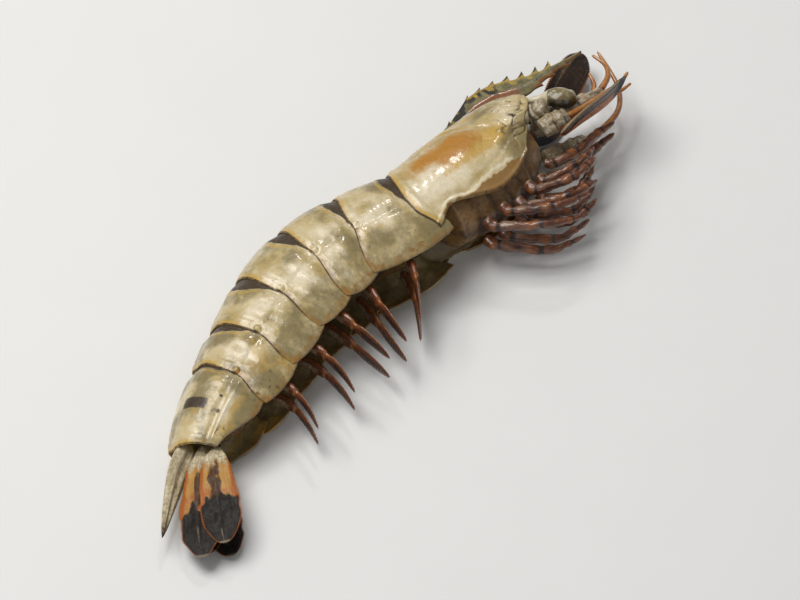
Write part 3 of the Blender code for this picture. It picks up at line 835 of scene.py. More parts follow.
FLESH = Finish(
    "Moist flesh", base=(0.27, 0.145, 0.042), cloud=(0.19, 0.095, 0.028), blotch=(0.10, 0.042, 0.018),
    speck=(0.08, 0.03, 0.02), cloud_size=4.0, blotch_size=1.0, blotch_strength=0.7,
    stains=(
        # Painted shade along the underside's middle and in its folds.
        Stain(Zone.DARK, (0.05, 0.025, 0.015), grain=0.7, softness=0.35),
        Stain(Zone.PALE, (0.40, 0.26, 0.11), fray=0.6, grain=0.7, strength=0.5),
    ),
    rough_low=0.30, rough_high=0.55, wrinkles=0.8, bump=0.5,
)
DARK_BLADE = Finish(
    "Dark blade", base=(0.026, 0.017, 0.013), cloud=(0.016, 0.012, 0.011), blotch=(0.06, 0.032, 0.016),
    speck=(0.16, 0.09, 0.04), cloud_size=3.5, blotch_size=0.9, specks=0.2,
    streak_colour=(0.10, 0.055, 0.03), streak_width=0.45, streak_length=6.0, streak_strength=0.4,
    stains=(
        Stain(Zone.GOLD, (0.34, 0.23, 0.11), grain=0.8),
        Stain(Zone.ORANGE, (0.46, 0.13, 0.02), fray=0.6, grain=0.6, softness=0.35),
        Stain(Zone.PALE, (0.56, 0.50, 0.38), grain=0.8, softness=0.35),
        Stain(Zone.DARK, (0.010, 0.010, 0.013), fray=0.4, softness=0.3),
    ),
    rough_high=0.46, bump=1.0, wrinkles=1.0, bump_depth=0.25, specular=0.35,
)
CHEEK = Finish(
    "Pale cheek", base=(0.58, 0.50, 0.34), cloud=(0.42, 0.345, 0.21), blotch=(0.16, 0.11, 0.055),
    speck=(0.06, 0.04, 0.03), cloud_size=2.2, blotch_size=0.7, specks=0.4,
    streak_colour=(0.22, 0.13, 0.055), streak_width=0.45, streak_length=3.0,
    stains=(
        Stain(Zone.PALE, (0.70, 0.62, 0.46), fray=0.8, grain=0.6, strength=0.8),
        Stain(Zone.ORANGE, (0.42, 0.17, 0.04), fray=0.6, strength=0.8),
        Stain(Zone.DARK, (0.06, 0.034, 0.018), fray=0.7, grain=1.0, softness=0.35),
    ),
    vein_size=1.3, vein_strength=0.6, wrinkles=1.4, bump=1.0, bump_depth=0.25, coat=0.4, over_stains=0.15,
)
LEG = Finish(
    "Red-brown limb", base=(0.15, 0.036, 0.014), cloud=(0.085, 0.024, 0.013), blotch=(0.035, 0.014, 0.010),
    speck=(0.02, 0.01, 0.008), blotch_size=0.7, blotch_strength=0.7,
    streak_colour=(0.36, 0.14, 0.045), streak_width=0.4, streak_length=5.0, streak_strength=0.6,
    stains=(
        Stain(Zone.PALE, (0.44, 0.36, 0.24), fray=0.6, grain=0.7, softness=0.35, strength=0.8),
        Stain(Zone.ORANGE, (0.42, 0.14, 0.03), fray=0.6, strength=0.8),
        Stain(Zone.DARK, (0.025, 0.012, 0.009), fray=0.6, grain=0.8, softness=0.3),
    ),
    coat=0.4, wrinkles=0.6, over_stains=0.35,
)
WHISKER = Finish(
    "Orange whisker", base=(0.44, 0.14, 0.025), cloud=(0.30, 0.085, 0.018), blotch=(0.16, 0.05, 0.018),
    speck=(0.08, 0.03, 0.015), blotch_size=0.6,
    stains=(
        Stain(Zone.GOLD, (0.56, 0.27, 0.06), fray=0.6, grain=0.7, strength=0.8),
        Stain(Zone.DARK, (0.06, 0.025, 0.015), softness=0.35),
        Stain(Zone.PALE, (0.56, 0.46, 0.32), fray=0.4, softness=0.3),
    ),
    rough_low=0.18, rough_high=0.4, coat=0.7, bump=0.3,
)
EYE = Finish(
    "Glossy eye", base=(0.15, 0.115, 0.045), cloud=(0.25, 0.20, 0.085), blotch=(0.07, 0.05, 0.02),
    speck=(0.02, 0.015, 0.012), cloud_size=2.5, blotch_size=0.6,
    stains=(
        Stain(Zone.DARK, (0.018, 0.014, 0.010), fray=0.4, grain=0.8, softness=0.3),
        Stain(Zone.GOLD, (0.34, 0.28, 0.13), fray=0.4, grain=1.0, softness=0.3),
        Stain(Zone.PALE, (0.64, 0.57, 0.40), fray=0.3, grain=1.0, softness=0.22),
    ),
    rough_high=0.42, pit_size=0.25, wrinkles=0.1, vein_strength=0.1,
)
FAN = Finish(
    "Tail fan", base=(0.74, 0.64, 0.44), cloud=(0.56, 0.47, 0.29), blotch=(0.17, 0.13, 0.07),
    speck=(0.04, 0.028, 0.02), blotch_size=0.8,
    streak_colour=(0.26, 0.19, 0.10), streak_length=7.0, streak_strength=0.25,
    stains=(
        Stain(Zone.GOLD, (0.50, 0.25, 0.05), fray=0.8, grain=0.45, softness=0.42, strength=0.95),
        Stain(Zone.ORANGE, (0.40, 0.105, 0.015), fray=0.8, grain=0.45, strength=0.95),
        # Dark brown middles of the side blades and darkening towards the telson's tip; also painted shade in
        # the telson's groove.
        Stain(Zone.BROWN, (0.065, 0.030, 0.014), fray=0.8, grain=0.45, softness=0.32, strength=0.95),
        Stain(Zone.DARK, (0.012, 0.009, 0.008), fray=0.55, grain=0.45, softness=0.20),
        # Pale fringe and veins, and painted highlights on the blades' ridges.
        Stain(Zone.PALE, (0.40, 0.32, 0.21), grain=0.7, strength=0.5),
    ),
    rough_low=0.30, rough_high=0.55, coat=0.08, bump=0.9, bump_depth=0.2, wrinkles=0.8, specular=0.2,
    vein_strength=0.05, over_stains=0.25,
)


class Slot(Enum):
    """The record's material slots."""

    SHELL = "shell"
    FLESH = "flesh"
    DARK_BLADE = "dark_blade"
    LEGS = "legs"
    WHISKER = "whisker"
    EYE = "eye"
    TAIL_FAN = "tail_fan"


class Side(Enum):
    """A side of the body, with the sign of its lateral offsets."""

    RIGHT = 1
    LEFT = -1

    @property
    def word(self) -> str:
        """The side's name, as the nodes say it."""
        return self.name.lower()


def show(surface: Surface, name: str, node: str | None, finish: Finish) -> bpy.types.Object:
    """Puts a finished piece into the scene and ties it to the frame.

    Args:
        surface: the piece's surface.
        name: the piece's name.
        node: the node that it stands for, or None if it adds to one.
        finish: its finish.

    Returns:
        The piece.
    """
    made = bpy.data.objects.new(name, surface.mesh(name))
    bpy.context.scene.collection.objects.link(made)
    made.data.materials.append(finish.material())
    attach(made, "root")
    if node:
        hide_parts(node)
    LOG.info("%s: %d vertices", name, len(made.data.vertices))
    return made


def show_limb(surface: Surface, node: str, finish: Finish) -> None:
    """Shows the one piece that stands for a node, named after it."""
    show(surface, f"{node}_fine", node, finish)


def lean(number: int, turn: Array) -> Array:
    """How far a tail plate's rear edge runs back of its joint: first to the hinge, then down the side.

    Args:
        number: the plate's number, 0 for the head shell.
        turn: way round the body.

    Returns:
        How far back, in millimetres.
    """
    size = np.abs(turn)
    to_hinge = -1.0 * smooth(size, 0.9, 0.0) + HINGE_LEAN[number - 1] * smooth(size, 0.45, 1.0)
    return to_hinge + 3.4 * smooth(size, 1.0, 1.75)


def head_rear(turn: Array) -> Array:
    """Where the head shell's rear edge is on the spine: furthest back at mid flank."""
    size = np.abs(turn)
    return -2.2 + 5.2 * smooth(size, 0.15, 1.1) - 2.4 * smooth(size, 1.3, 1.8)


@dataclass
class ShellPlate:
    """A shell plate laid on the body: a grid from its front edge to its rear one, walled inwards."""

    body: Body
    rows: int = 64
    columns: int = 170
    rim: float = 0.45  # how far in from each edge the lip rounds off
    thinning: float = 0.36  # how much thinner the rear edge is than the rest

    def front(self, turn: Array) -> Array:
        """Spine place of the front edge."""
        raise NotImplementedError

    def rear(self, turn: Array) -> Array:
        """Spine place of the rear edge."""
        raise NotImplementedError

    def edge(self, share: Array) -> Array:
        """Outermost turn at a share of the length."""
        raise NotImplementedError

    def depth(self, s: Array, turn: Array, share: Array) -> Array:
        """Depth of the plain plate below the body's surface."""
        raise NotImplementedError

    def relief(self, s: Array, turn: Array, share: Array) -> Array:
        """Height of the plate's own forms over the plain plate."""
        raise NotImplementedError

    def zones(self, s: Array, turn: Array, share: Array) -> Masks:
        """The plate's masks."""
        raise NotImplementedError

    def grid(self, rows: int, columns: int, even: bool = False) -> tuple[Array, Array, Array]:
        """Places of the plate's vertices.

        Args:
            rows: how many from front to rear.
            columns: how many from edge to edge.
            even: True spaces them evenly, and False closer at the edges.

        Returns:
            s, turn and share of each vertex.
        """
        along = np.linspace(0, 1, rows)
        across = np.linspace(-1, 1, columns)
        if not even:
            along = 0.6 * along + 0.4 * (0.5 - 0.5 * np.cos(math.pi * along))
            across = 0.8 * across + 0.2 * np.sin(across * math.pi / 2)
        share, across = np.meshgrid(along, across, indexing="ij")
        turn = across * self.edge(share)
        s = self.front(turn) * (1 - share) + self.rear(turn) * share
        return s, turn, share

    def lip(self, s: Array, turn: Array, share: Array) -> Array:
        """Rounds the plate's outer edges down, and thins its rear one.

        Args:
            s, turn, share: places on the plate.

        Returns:
            The height.
        """
        side = (self.edge(share) - np.abs(turn)) * FLANK_ARC
        nearest = np.minimum(np.minimum(self.rear(turn) - s, s - self.front(turn)), side)
        thin = self.thinning * smooth(self.rear(turn) - s, 2.2, 0.0)
        return -thin - (0.32 - 0.5 * thin) * np.maximum(1 - np.maximum(nearest, 0.0) / self.rim, 0.0) ** 2

    def surface(self) -> Surface:
        """Makes the plate's closed surface.

        Returns:
            The plate.
        """
        s, turn, share = self.grid(self.rows, self.columns)
        plain = self.depth(s, turn, share)
        unbent = self.body.unbent(s, turn)
        raised = self.relief(s, turn, share) + self.lip(s, turn, share)
        raised = raised + 0.12 * ripple(unbent, 5.0) + 0.04 * ripple(unbent, 1.6, 4.0)
        outer = self.body.skin(s, turn, plain - raised)
        outer[..., 2] = np.maximum(outer[..., 2], self.body.shift[2])
        inner = self.body.skin(s, turn, plain + WALL)
        return walled_surface(outer, inner, unbent, self.zones(s, turn, share))


@dataclass
class TailPlate(ShellPlate):
    """One of the six tail plates, tucked in under the one ahead of it."""

    number: int = 1
    wedges: tuple[float, ...] = (4.2, 4.0, 4.0, 4.0, 2.6, 0.9)  # width of the dark band at each plate's front
    knobs: tuple[float, ...] = (0.0, 0.3, 0.3, 0.6, 0.6, 0.0)  # strength of the dark ring at each rear hinge
    knob: float = 0.85  # radius of the hinge knob
    olive: tuple[float, ...] = (0.95, 0.65, 0.6, 0.7, 1.3, 1.15)  # how dull each plate is
    saddle: tuple[float, float] = (83.5, 1.5)  # middle and half width of the last plate's dark bar
    spots: Path = ((80.5, 1.02, 0.5), (84.5, 1.10, 0.6))  # s, turn and radius of its dark spots

    @property
    def last(self) -> bool:
        """True for the plate that carries the tail fan."""
        return self.number == len(SEGMENT_LENGTHS)

    def ahead(self, turn: Array) -> Array:
        """Spine place of the rear edge of the plate ahead."""
        return JOINTS[self.number - 1] + lean(self.number - 1, turn) if self.number > 1 else head_rear(turn)

    def front(self, turn: Array) -> Array:
        """Spine place of the front edge, tucked in."""
        return self.ahead(turn) - TUCK + (0.0 if self.number > 1 else 0.6)

    def rear(self, turn: Array) -> Array:
        """Spine place of the rear edge."""
        return JOINTS[self.number] + (0.0 if self.last else lean(self.number, turn))

    def edge(self, share: Array) -> Array:
        """Outermost turn: the side plate is a rounded lobe, and the last one draws in."""
        lobe = 0.10 * np.abs(2 * share - 1) ** 3
        return (1.9 - 0.35 * smooth(share, 0.3, 1.0) if self.last else 2.0) - lobe

    def depth(self, s: Array, turn: Array, share: Array) -> Array:
        """The front nests under the plate ahead, then comes up to the body's surface behind it."""
        shown = s - self.ahead(turn)
        return NEST - 0.30 * smooth(shown, -2.2, -0.2) - 0.80 * smooth(shown, 0.0, 4.2)

    def relief(self, s: Array, turn: Array, share: Array) -> Array:
        """Lip ridge, cross groove, hinge knob, side folds, and the last plate's keel and side ridge.

        Args:
            s, turn, share: places on the plate.

        Returns:
            The height.
        """
        size = np.abs(turn)
        from_rear = self.rear(turn) - s
        shown = s - self.ahead(turn)
        groove = -0.14 * hump(from_rear, 2.6, 0.5) * smooth(size, 1.5, 0.6)
        distance = np.hypot(from_rear - HINGE_AHEAD, (size - HINGE_TURN) * FLANK_ARC)
        knob = 0.22 * hump(distance, 0.0, self.knob * 0.62) - 0.16 * hump(distance, self.knob * 1.35, 0.35)
        fold = 0.30 * hump(size, 1.5, 0.28) * hump(share, 0.55, 0.4)
        fold = fold - 0.26 * hump(size, 1.14, 0.07) * hump(share, 0.6, 0.35)
        drawn_out = self.body.unbent(s, turn) * np.array((1.0, 0.45, 0.45))
        puckers = 0.22 * ripple(drawn_out, 2.2, 6.0 + self.number)
        puckers = puckers * smooth(size, 0.7, 1.0) * smooth(shown, 0.5, 2.5)
        total = groove + (0.0 if self.last else knob) + fold + puckers
        if self.number >= FIRST_KEELED:
            total = total + 0.35 * hump(size, 0.0, 0.05) * smooth(share, 0.1, 0.4)
        if self.last:
            total = total + 0.45 * hump(size, 1.22, 0.06) * hump(share, 0.5, 0.4)
            total = total - 0.25 * hump(size, 1.05, 0.08)
        return total

    def zones(self, s: Array, turn: Array, share: Array) -> Masks:
        """Dark bands, gold fringes, brown hinge triangles, olive clouds and the pale flank, with a painted
        sheen at mid flank and painted shade behind the bands and towards the lower edge.

        Args:
            s, turn, share: places on the plate.

        Returns:
            The masks.
        """
        size = np.abs(turn)
        from_rear = self.rear(turn) - s
        shown = s - self.ahead(turn)
        unbent = self.body.unbent(s, turn)
        ragged = ripple(unbent, 2.4, 3.0 * self.number)
        first = self.number == 1
        lens = smooth(size, 0.06, 0.34) * smooth(size, 1.15 if first else 0.95, 0.55)
        width = self.wedges[self.number - 1] * (0.10 + 0.90 * lens) + 0.5 * ragged
        dark = smooth(shown - width, 0.35, -0.35) * smooth(size, 1.25, 0.9)
        line = 0.75 * hump(from_rear, 0.15, 0.22) * smooth(size, 1.9, 1.5)
        arc = (size - HINGE_TURN) * FLANK_ARC
        grit = ripple(unbent, 0.8, 7.0 + self.number)
        from_hinge = np.hypot(from_rear - HINGE_AHEAD, arc)
        ring = self.knobs[self.number - 1] * hump(from_hinge, self.knob * 0.9, 0.3) * smooth(grit, -0.3, 0.1)
        dots = 0.48 * smooth(grit, 0.10, 0.45) * smooth(ripple(unbent, 5.0, 3.0), 0.0, 0.3)
        dots = dots * smooth(size, 0.6, 0.9)
        dotted = 0.6 * hump(from_rear, 1.7, 0.25) * smooth(size, 0.7, 0.85) * smooth(size, 1.5, 1.3)
        dotted = dotted * smooth(ripple(unbent, 1.6, 2.0), -0.1, 0.3)
        fringe = 0.85 * smooth(from_rear, 1.9, 0.3) * (0.35 + 0.65 * smooth(size, 1.2, 0.5))
        yellow = 0.8 * hump(shown - width, 0.9, 0.4) * smooth(size, 1.2, 0.7)
        triangle = smooth(size, 1.02, 1.2) * smooth(from_rear, 2.6, 0.3) * smooth(size, 1.95, 1.7)
        lower = smooth(size, 1.72, 1.9)
        cloud = 1.3 * ripple(unbent, 6.0, 1.7 * self.number) - 0.12
        # Olive smudge just behind each dark band: partly the shell's own olive, partly painted shade cast by
        # the plate ahead.
        smudge = 0.95 * hump(shown - width, 2.2, 2.8) * hump(size, 0.5, 0.32)
        # The hump at mid flank is a painted sheen, where the upturned flank catches the light; the cloud term
        # is the shell's own paler tone.
        pale = 0.8 * hump(size, 1.08, 0.30) * hump(share, 0.62, 0.34) + 0.6 * cloud
        tone = self.olive[self.number - 1]
        wash = 0.42 * smooth(ripple(unbent, 7.0, 20.0 + self.number), 0.0, 0.35) * smooth(tone, 0.7, 1.2)
        zones = {
            Zone.DARK: np.maximum.reduce([dark, ring, line, dots, dotted]),
            Zone.GOLD: np.maximum.reduce([fringe, yellow, wash]),
            Zone.BROWN: 0.6 * triangle + 0.5 * lower,
            # The term towards the lower edge is painted shade on the downturned side of the flank.
            Zone.GREEN: tone * (smudge + np.maximum(-cloud, 0.0)) + 0.5 * smooth(size, 1.25, 1.5),
            Zone.ORANGE: 0.4 * lower * hump(from_rear, 1.0, 2.0),
            Zone.PALE: pale * (1.25 - 0.4 * tone),
        }
        if self.number == SPOTTED:
            zones[Zone.ORANGE] += 0.9 * hump(np.hypot(from_rear - 0.8, arc - 1.0), 0.0, 0.8)
        if self.last:
            zones |= {Zone.PALE: 0.4 * pale, Zone.BROWN: 0.6 * zones[Zone.BROWN]}
            for zone, mask in self.last_marks(s, size, share).items():
                zones[zone] = np.maximum(zones[zone], mask)
        return zones

    def last_marks(self, s: Array, size: Array, share: Array) -> Masks:
        """What only the last plate shows: a dark bar, two spots, pale ridges, the side one a painted
        highlight, and an olive side that darkens to painted shade towards the lower edge.

        Args:
            s, share: places on the plate.
            size: turn without its sign.

        Returns:
            The masks.
        """
        middle, half = self.saddle
        bar = smooth(np.abs(s - middle), half + 0.5, half - 0.4)
        bar = bar * smooth(size, 0.92, 0.8) * smooth(size, 0.28, 0.42)
        faint = 0.45 * smooth(np.abs(s - middle - 1.5), half + 0.6, half - 0.6) * hump(size, 1.0, 0.16)
        spots = sum(hump(np.hypot(s - place, (size - turn) * LAST_ARC), 0.0, reach)
                    for place, turn, reach in self.spots)
        # Painted highlight along the side ridge.
        ridge = hump(size, 1.25, 0.10) * hump(share, 0.55, 0.3)
        olive = 0.55 * hump(size, 0.7, 0.3) * hump(share, 0.35, 0.25)
        return {
            Zone.DARK: np.maximum.reduce([0.85 * bar, spots, faint]),
            Zone.PALE: ridge + hump(size, 0.0, 0.12) * smooth(share, 0.1, 0.3),
            Zone.GOLD: 0.55 * hump(size, 1.42, 0.12) * hump(share, 0.5, 0.3),
            # Towards the lower edge, the olive and brown are painted shade on the downturned side.
            Zone.GREEN: np.maximum(olive, smooth(size, 1.35, 1.6)),
            Zone.BROWN: 0.55 * smooth(size, 1.55, 1.8),
        }


@dataclass
class HeadShell(ShellPlate):
    """The head shell, with its grooves, ridges and spines. The spike is a piece of its own."""

    rows: int = 150
    columns: int = 200
    lower_edge: Stations = ((0, 1.72), (0.2, 1.84), (0.45, 1.84), (0.65, 1.68), (0.8, 1.57), (0.9, 1.66),
                            (1, 1.8))

    def front(self, turn: Array) -> Array:
        """Spine place of the front edge: eye notch, corner spine, and the cheek that falls back below.

        Args:
            turn: way round the body.

        Returns:
            The place, in millimetres.
        """
        size = np.abs(turn)
        notch = 4.0 * smooth(size, 0.04, 0.3) - 5.5 * smooth(size, 0.4, 0.75)
        return -SHELL_LENGTH + notch + 6.0 * smooth(size, 0.78, 1.2) + 7.5 * smooth(size, 1.2, 1.8)

    def rear(self, turn: Array) -> Array:
        """Spine place of the rear edge."""
        return head_rear(turn)

    def edge(self, share: Array) -> Array:
        """Outermost turn: the lower edge draws up before the rear corner."""
        return hermite(self.lower_edge, share)

    def depth(self, s: Array, turn: Array, share: Array) -> Array:
        """A shallow hollow runs down each cheek."""
        size = np.abs(turn)
        return 0.7 * hump(share, 0.33, 0.10) * smooth(size, 0.2, 0.6) * smooth(size, 1.4, 1.0)

    def groove(self, s: Array, turn: Array, course: Stations, reach: float) -> Array:
        """Mask of a line that follows a course of (s, turn) stations.

        Args:
            s: place of each vertex.
            turn: turn of each vertex.
            course: stations of the line, in order of s.
            reach: half its width, in millimetres.

        Returns:
            1 on the line, fading to 0 beside it and past its ends.
        """
        first, last = course[0][0], course[-1][0]
        away = (np.abs(turn) - hermite(course, s)) * HEAD_ARC
        ends = smooth(s, first - 1.5, first + 1.0) * smooth(s, last + 1.5, last - 1.0)
        return hump(away, 0.0, reach) * ends

    def creases(self, s: Array, turn: Array) -> Array:
        """Mask of the thin creases between the wrinkles of the cheek.

        Args:
            s, turn: places on the plate.

        Returns:
            1 on a crease, 0 away from it.
        """
        size = np.abs(turn)
        places = self.body.unbent(s, turn) * np.array((0.7, 1.0, 1.0))
        lines = smooth(np.abs(ripple(places, 2.6, 9.0)), 0.15, 0.0)
        return lines * smooth(s, -29, -35) * smooth(size, 0.45, 0.7) * smooth(size, 1.75, 1.4)

    def relief(self, s: Array, turn: Array, share: Array) -> Array:
        """Grooves beside the spike and round the neck, the cheek ridge, and beads along the edges.

        Args:
            s, turn, share: places on the plate.

        Returns:
            The height.
        """
        size = np.abs(turn)
        beside = self.groove(s, turn, ((-43, 0.16), (-30, 0.24), (-14, 0.22)), 0.75)
        neck = self.groove(s, turn, ((-36, 1.12), (-31, 0.92), (-24, 0.62), (-20, 0.42)), 0.9)
        cheek = self.groove(s, turn, ((-42, 1.02), (-37, 1.06), (-33, 1.16)), 0.55)
        gill = self.groove(s, turn, ((-34, 1.22), (-26, 1.42), (-14, 1.52), (-4, 1.56)), 0.6)
        bead = 0.30 * hump((self.edge(share) - size) * FLANK_ARC, 0.7, 0.4)
        rim = 0.22 * hump(self.rear(turn) - s, 2.2, 0.7)
        raised = 0.36 * cheek + bead + rim
        return raised - 0.5 * beside - 0.38 * neck - 0.2 * gill - 0.42 * self.creases(s, turn)

    def zones(self, s: Array, turn: Array, share: Array) -> Masks:
        """Cream side with a whitish middle, orange patch, olive back and brown see-through lower part, with
        painted shade on the lower front cheek and in the cheek's creases.

        Args:
            s, turn, share: places on the plate.

        Returns:
            The masks.
        """
        size = np.abs(turn)
        arc = size * HEAD_ARC
        unbent = self.body.unbent(s, turn)
        ragged = 0.06 * ripple(unbent, 3.4, 2.0) + 0.03 * ripple(unbent, 1.2, 5.0)
        cream = hump(s, -9, 13) * hump(size, 1.12, 0.34)
        border = 1.60 + 0.12 * smooth(s, -20, -36) - 0.05 * smooth(s, -12, -4)
        under = smooth(size + ragged - border, 0.0, 0.05) * smooth(s, 0, -4)
        scallop = hump(size + ragged - border, -0.03, 0.035) * smooth(s, 0, -4) * smooth(s, -34, -24)
        # Painted shade on the lower front cheek, greenish and brownish.
        cheek_shade = smooth(s, -24, -31) * smooth(size + ragged, 0.98, 1.26)
        orange = 1.3 * hump(s, -18, 8.5) * hump(size, 0.88, 0.20)
        orange = orange + 0.7 * hump(s, -8, 6.0) * hump(size, 0.74, 0.12)
        yellow = 1.3 * hump(s, -27, 6.0) * hump(size, 1.06, 0.20)
        yellow = yellow + 0.9 * hump(s, -18, 11) * hump(size, 1.12, 0.12)
        band = 0.7 * hump(size, 0.48, 0.12) * smooth(s, -6, -12) * smooth(s, -36, -28)
        back = smooth(size, 0.42, 0.2)
        from_rear = self.rear(turn) - s
        rear_line = smooth(from_rear, 2.0, 0.6)
        rear_edge = 0.9 * hump(from_rear, 0.2, 0.3)
        ahead, down = s + 37.4, arc - 0.98 * HEAD_ARC
        notch = 0.8 * hump(np.hypot(ahead / 1.7, down + 0.6 * ahead), 0.0, 0.8)
        smudge = 0.55 * hump(np.hypot((s + 31.5) / 2.8, (arc - 1.12 * HEAD_ARC) / 2.2), 0.0, 0.9)
        outline = 0.8 * hump(arc, 0.7, 0.5) * smooth(s, -10, -24)
        streaks = smooth(np.cos(46 * size + 0.25 * s + 5 * ripple(unbent, 6.0, 8.0)), 0.2, 0.9)
        streaks = streaks * hump(size, 0.40, 0.17) * smooth(s, -5, -12) * smooth(s, -42, -38)
        pink = self.groove(s, turn, ((-41, 0.30), (-30, 0.36)), 0.7)
        red = self.groove(s, turn, ((-42, 0.22), (-29, 0.26)), 0.6)
        margin = hump((self.edge(share) - size) * FLANK_ARC, 0.3, 0.5) * smooth(s, -4, -10)
        return {
            # The creases' dark is painted shade in the cheek's wrinkles.
            Zone.DARK: np.maximum.reduce([notch, smudge, outline, 0.5 * margin, rear_edge,
                                          0.62 * self.creases(s, turn)]),
            Zone.GOLD: np.maximum.reduce([0.6 * back, rear_line, 0.9 * yellow, band]),
            Zone.BROWN: np.maximum.reduce([under, 0.4 * cheek_shade, red, 0.62 * streaks]),
            Zone.GREEN: np.maximum.reduce([cheek_shade, 0.8 * back, 0.8 * smudge,
                                           0.75 * hump(s, -33, 6) * hump(size, 0.62, 0.1),
                                           0.6 * hump(size, 0.50, 0.14) * smooth(s, -5, -12)]),
            Zone.ORANGE: orange + 0.5 * red,
            Zone.PALE: np.maximum.reduce([cream, 0.9 * pink, scallop,
                                          0.5 * hump(s, -37, 4) * hump(size, 0.9, 0.3)]),
        }


@dataclass
class Spike:
    """The toothed spike between the eyes and the keel behind it: a blade with a ridge on each side."""

    body: Body
    ridge: Stations = ((19, 13.5), (26, 15.0), (31, 16.0), (35, 17.4), (39, 18.9), (43, 18.9), (47, 18.0),
                       (51, 16.2), (55, 15.0), (60, 14.3), (66, 14.1), (70, 14.3))
    under: Stations = ((44, 12.2), (46.5, 10.7), (51, 10.1), (55, 11.0), (60, 12.1), (66, 13.2), (70, 13.9))
    back_teeth: tuple[float, ...] = (31.5, 39.9, 43.5, 47.1, 50.7, 54.3, 57.9, 61.5)  # where their points are
    belly_teeth: tuple[float, ...] = (64.0, 59.5, 55.0)
    tooth_lean: float = 0.7  # how far each back tooth's point leans forward
    half_thickness: float = 0.8
    rows: int = 620
    outline: Stations = ((1.0, 0.0), (0.93, 0.16), (0.84, 0.34), (0.66, 0.52), (0.48, 0.70), (0.38, 1.0),
                         (0.28, 0.70), (0.10, 0.40), (0.0, 0.0))  # level and half width, from the crest down
    crest_level: float = 0.8  # above it, the outline belongs to the teeth

    @property
    def tip(self) -> float:
        """Where the spike ends, ahead of the head shell's rear edge."""
        return SHELL_LENGTH + ROSTRUM_LENGTH

    def lower(self, x: Array) -> Array:
        """Dorsal coordinate of the keel's foot, and of the spike's underside without its teeth."""
        root = hermite(self.body.back_height, -np.minimum(x, SHELL_LENGTH)) - 0.35
        return root + (hermite(self.under, x) - root) * smooth(x, SHELL_LENGTH - 3.5, SHELL_LENGTH + 1)

    def back_tooth(self, x: Array) -> tuple[Array, Array]:
        """The back teeth.

        Args:
            x: places along the spike.

        Returns:
            Their height in millimetres, and as a share of each one's own height.
        """
        tall, share = np.zeros_like(x), np.zeros_like(x)
        for point in self.back_teeth:
            start = point - (4.0 if point > 36 else 3.0)
            foot = point - self.tooth_lean
            height = 1.0 + 1.2 * float(smooth(point, 44, 53))
            rise = np.clip((x - start) / (foot - start), 0, 1) ** 2.2 * smooth(x, foot + 0.22, foot + 0.02)
            tall, share = np.maximum(tall, height * rise), np.maximum(share, rise)
        return tall, share

    def belly_tooth(self, x: Array) -> Array:
        """Depth of the teeth under the spike, from 0 to 1.

        Args:
            x: places along the spike.

        Returns:
            The depth at each place.
        """
        depth = np.zeros_like(x)
        for point in self.belly_teeth:
            rise = np.clip((x - point + 2.2) / 2.3, 0, 1) ** 1.6 * smooth(x, point + 0.3, point + 0.1)
            depth = np.maximum(depth, rise)
        return depth

    def surface(self) -> Surface:
        """Makes the spike's closed surface.

        Returns:
            The spike.
        """
        x = np.linspace(self.ridge[0][0], self.tip, self.rows)
        tall, teeth = self.back_tooth(x)
        belly = self.belly_tooth(x)
        plain_top = hermite(self.ridge, x) + 0.15
        bottom = self.lower(x) - 0.8 * belly
        thin = 1 - 0.62 * np.clip((x - SHELL_LENGTH) / ROSTRUM_LENGTH, 0, 1)
        sides = list(self.outline) + [(level, -wide) for level, wide in self.outline[-2:0:-1]]
        level, reach = np.array(sides).T[:, None, :]
        body_part = np.minimum(level / self.crest_level, 1.0)
        tooth_part = np.maximum(level - self.crest_level, 0.0) / (1 - self.crest_level)
        dorsal = bottom[:, None] + (plain_top - bottom)[:, None] * body_part + tall[:, None] * tooth_part
        forward = x[:, None] + self.tooth_lean * teeth[:, None] * tooth_part
        forward = forward + 0.8 * belly[:, None] * (1 - body_part) ** 2
        lateral = self.half_thickness * thin[:, None] * reach * (1 - 0.5 * tooth_part * teeth[:, None])
        lateral = lateral + 0.06 * np.sign(reach)
        rings = self.body.point(-forward, lateral, dorsal)
        unbent = np.stack([-forward, lateral, dorsal], axis=-1)
        masks = self.zones(*np.broadcast_arrays(x[:, None], level, teeth[:, None]))
        return ringed_surface(rings, unbent, masks)

    def zones(self, x: Array, level: Array, teeth: Array) -> Masks:
        """Dark teeth on yellow bases, a blue-black crest, an olive blade with a red-brown lower line.

        Args:
            x: places along the spike.
            level: share of the height.
            teeth: share of the tooth's own height.

        Returns:
            The masks.
        """
        flecks = ripple(np.stack([x, 5 * level, 0 * x], axis=-1), 1.9, 3.0)
        crest = smooth(level + 0.5 * flecks, 0.40, 0.60) * smooth(x, 28, 34) * smooth(x, 49, 43)
        tooth_tip = smooth(level, 0.82, 0.95) * smooth(teeth, 0.15, 0.45) * smooth(x, 34, 38)
        base = hump(level, 0.82, 0.10) * smooth(x, 36, 40)
        back_line = smooth(level, 0.75, 0.95) * smooth(x, 36, 30)
        first = hump(x, 30.5, 1.3) * smooth(level, 0.5, 0.8)
        upper_line = 0.8 * hump(level, 0.90, 0.10) * smooth(x, 61, 64)
        lower_line = smooth(level, 0.34, 0.12) * smooth(x, 50, 56)
        band = smooth(level, 0.50, 0.36) * smooth(x, 34, 38) * smooth(x, 52, 47)
        pink = smooth(level, 0.22, 0.08) * smooth(x, 31, 35) * smooth(x, 52, 47)
        shade = 0.6 * hump(level, 0.38, 0.10) * smooth(x, 52, 55)
        return {
            Zone.DARK: np.maximum.reduce([crest, tooth_tip, 0.8 * back_line, first, upper_line, shade]),
            Zone.GOLD: np.maximum.reduce([base, 0.7 * hump(level, 0.70, 0.12) * smooth(x, 36, 28),
                                          0.9 * smooth(flecks, 0.22, 0.42) * smooth(level, 0.45, 0.7)]),
            Zone.ORANGE: np.maximum(lower_line, band),
            Zone.PALE: pink,
        }


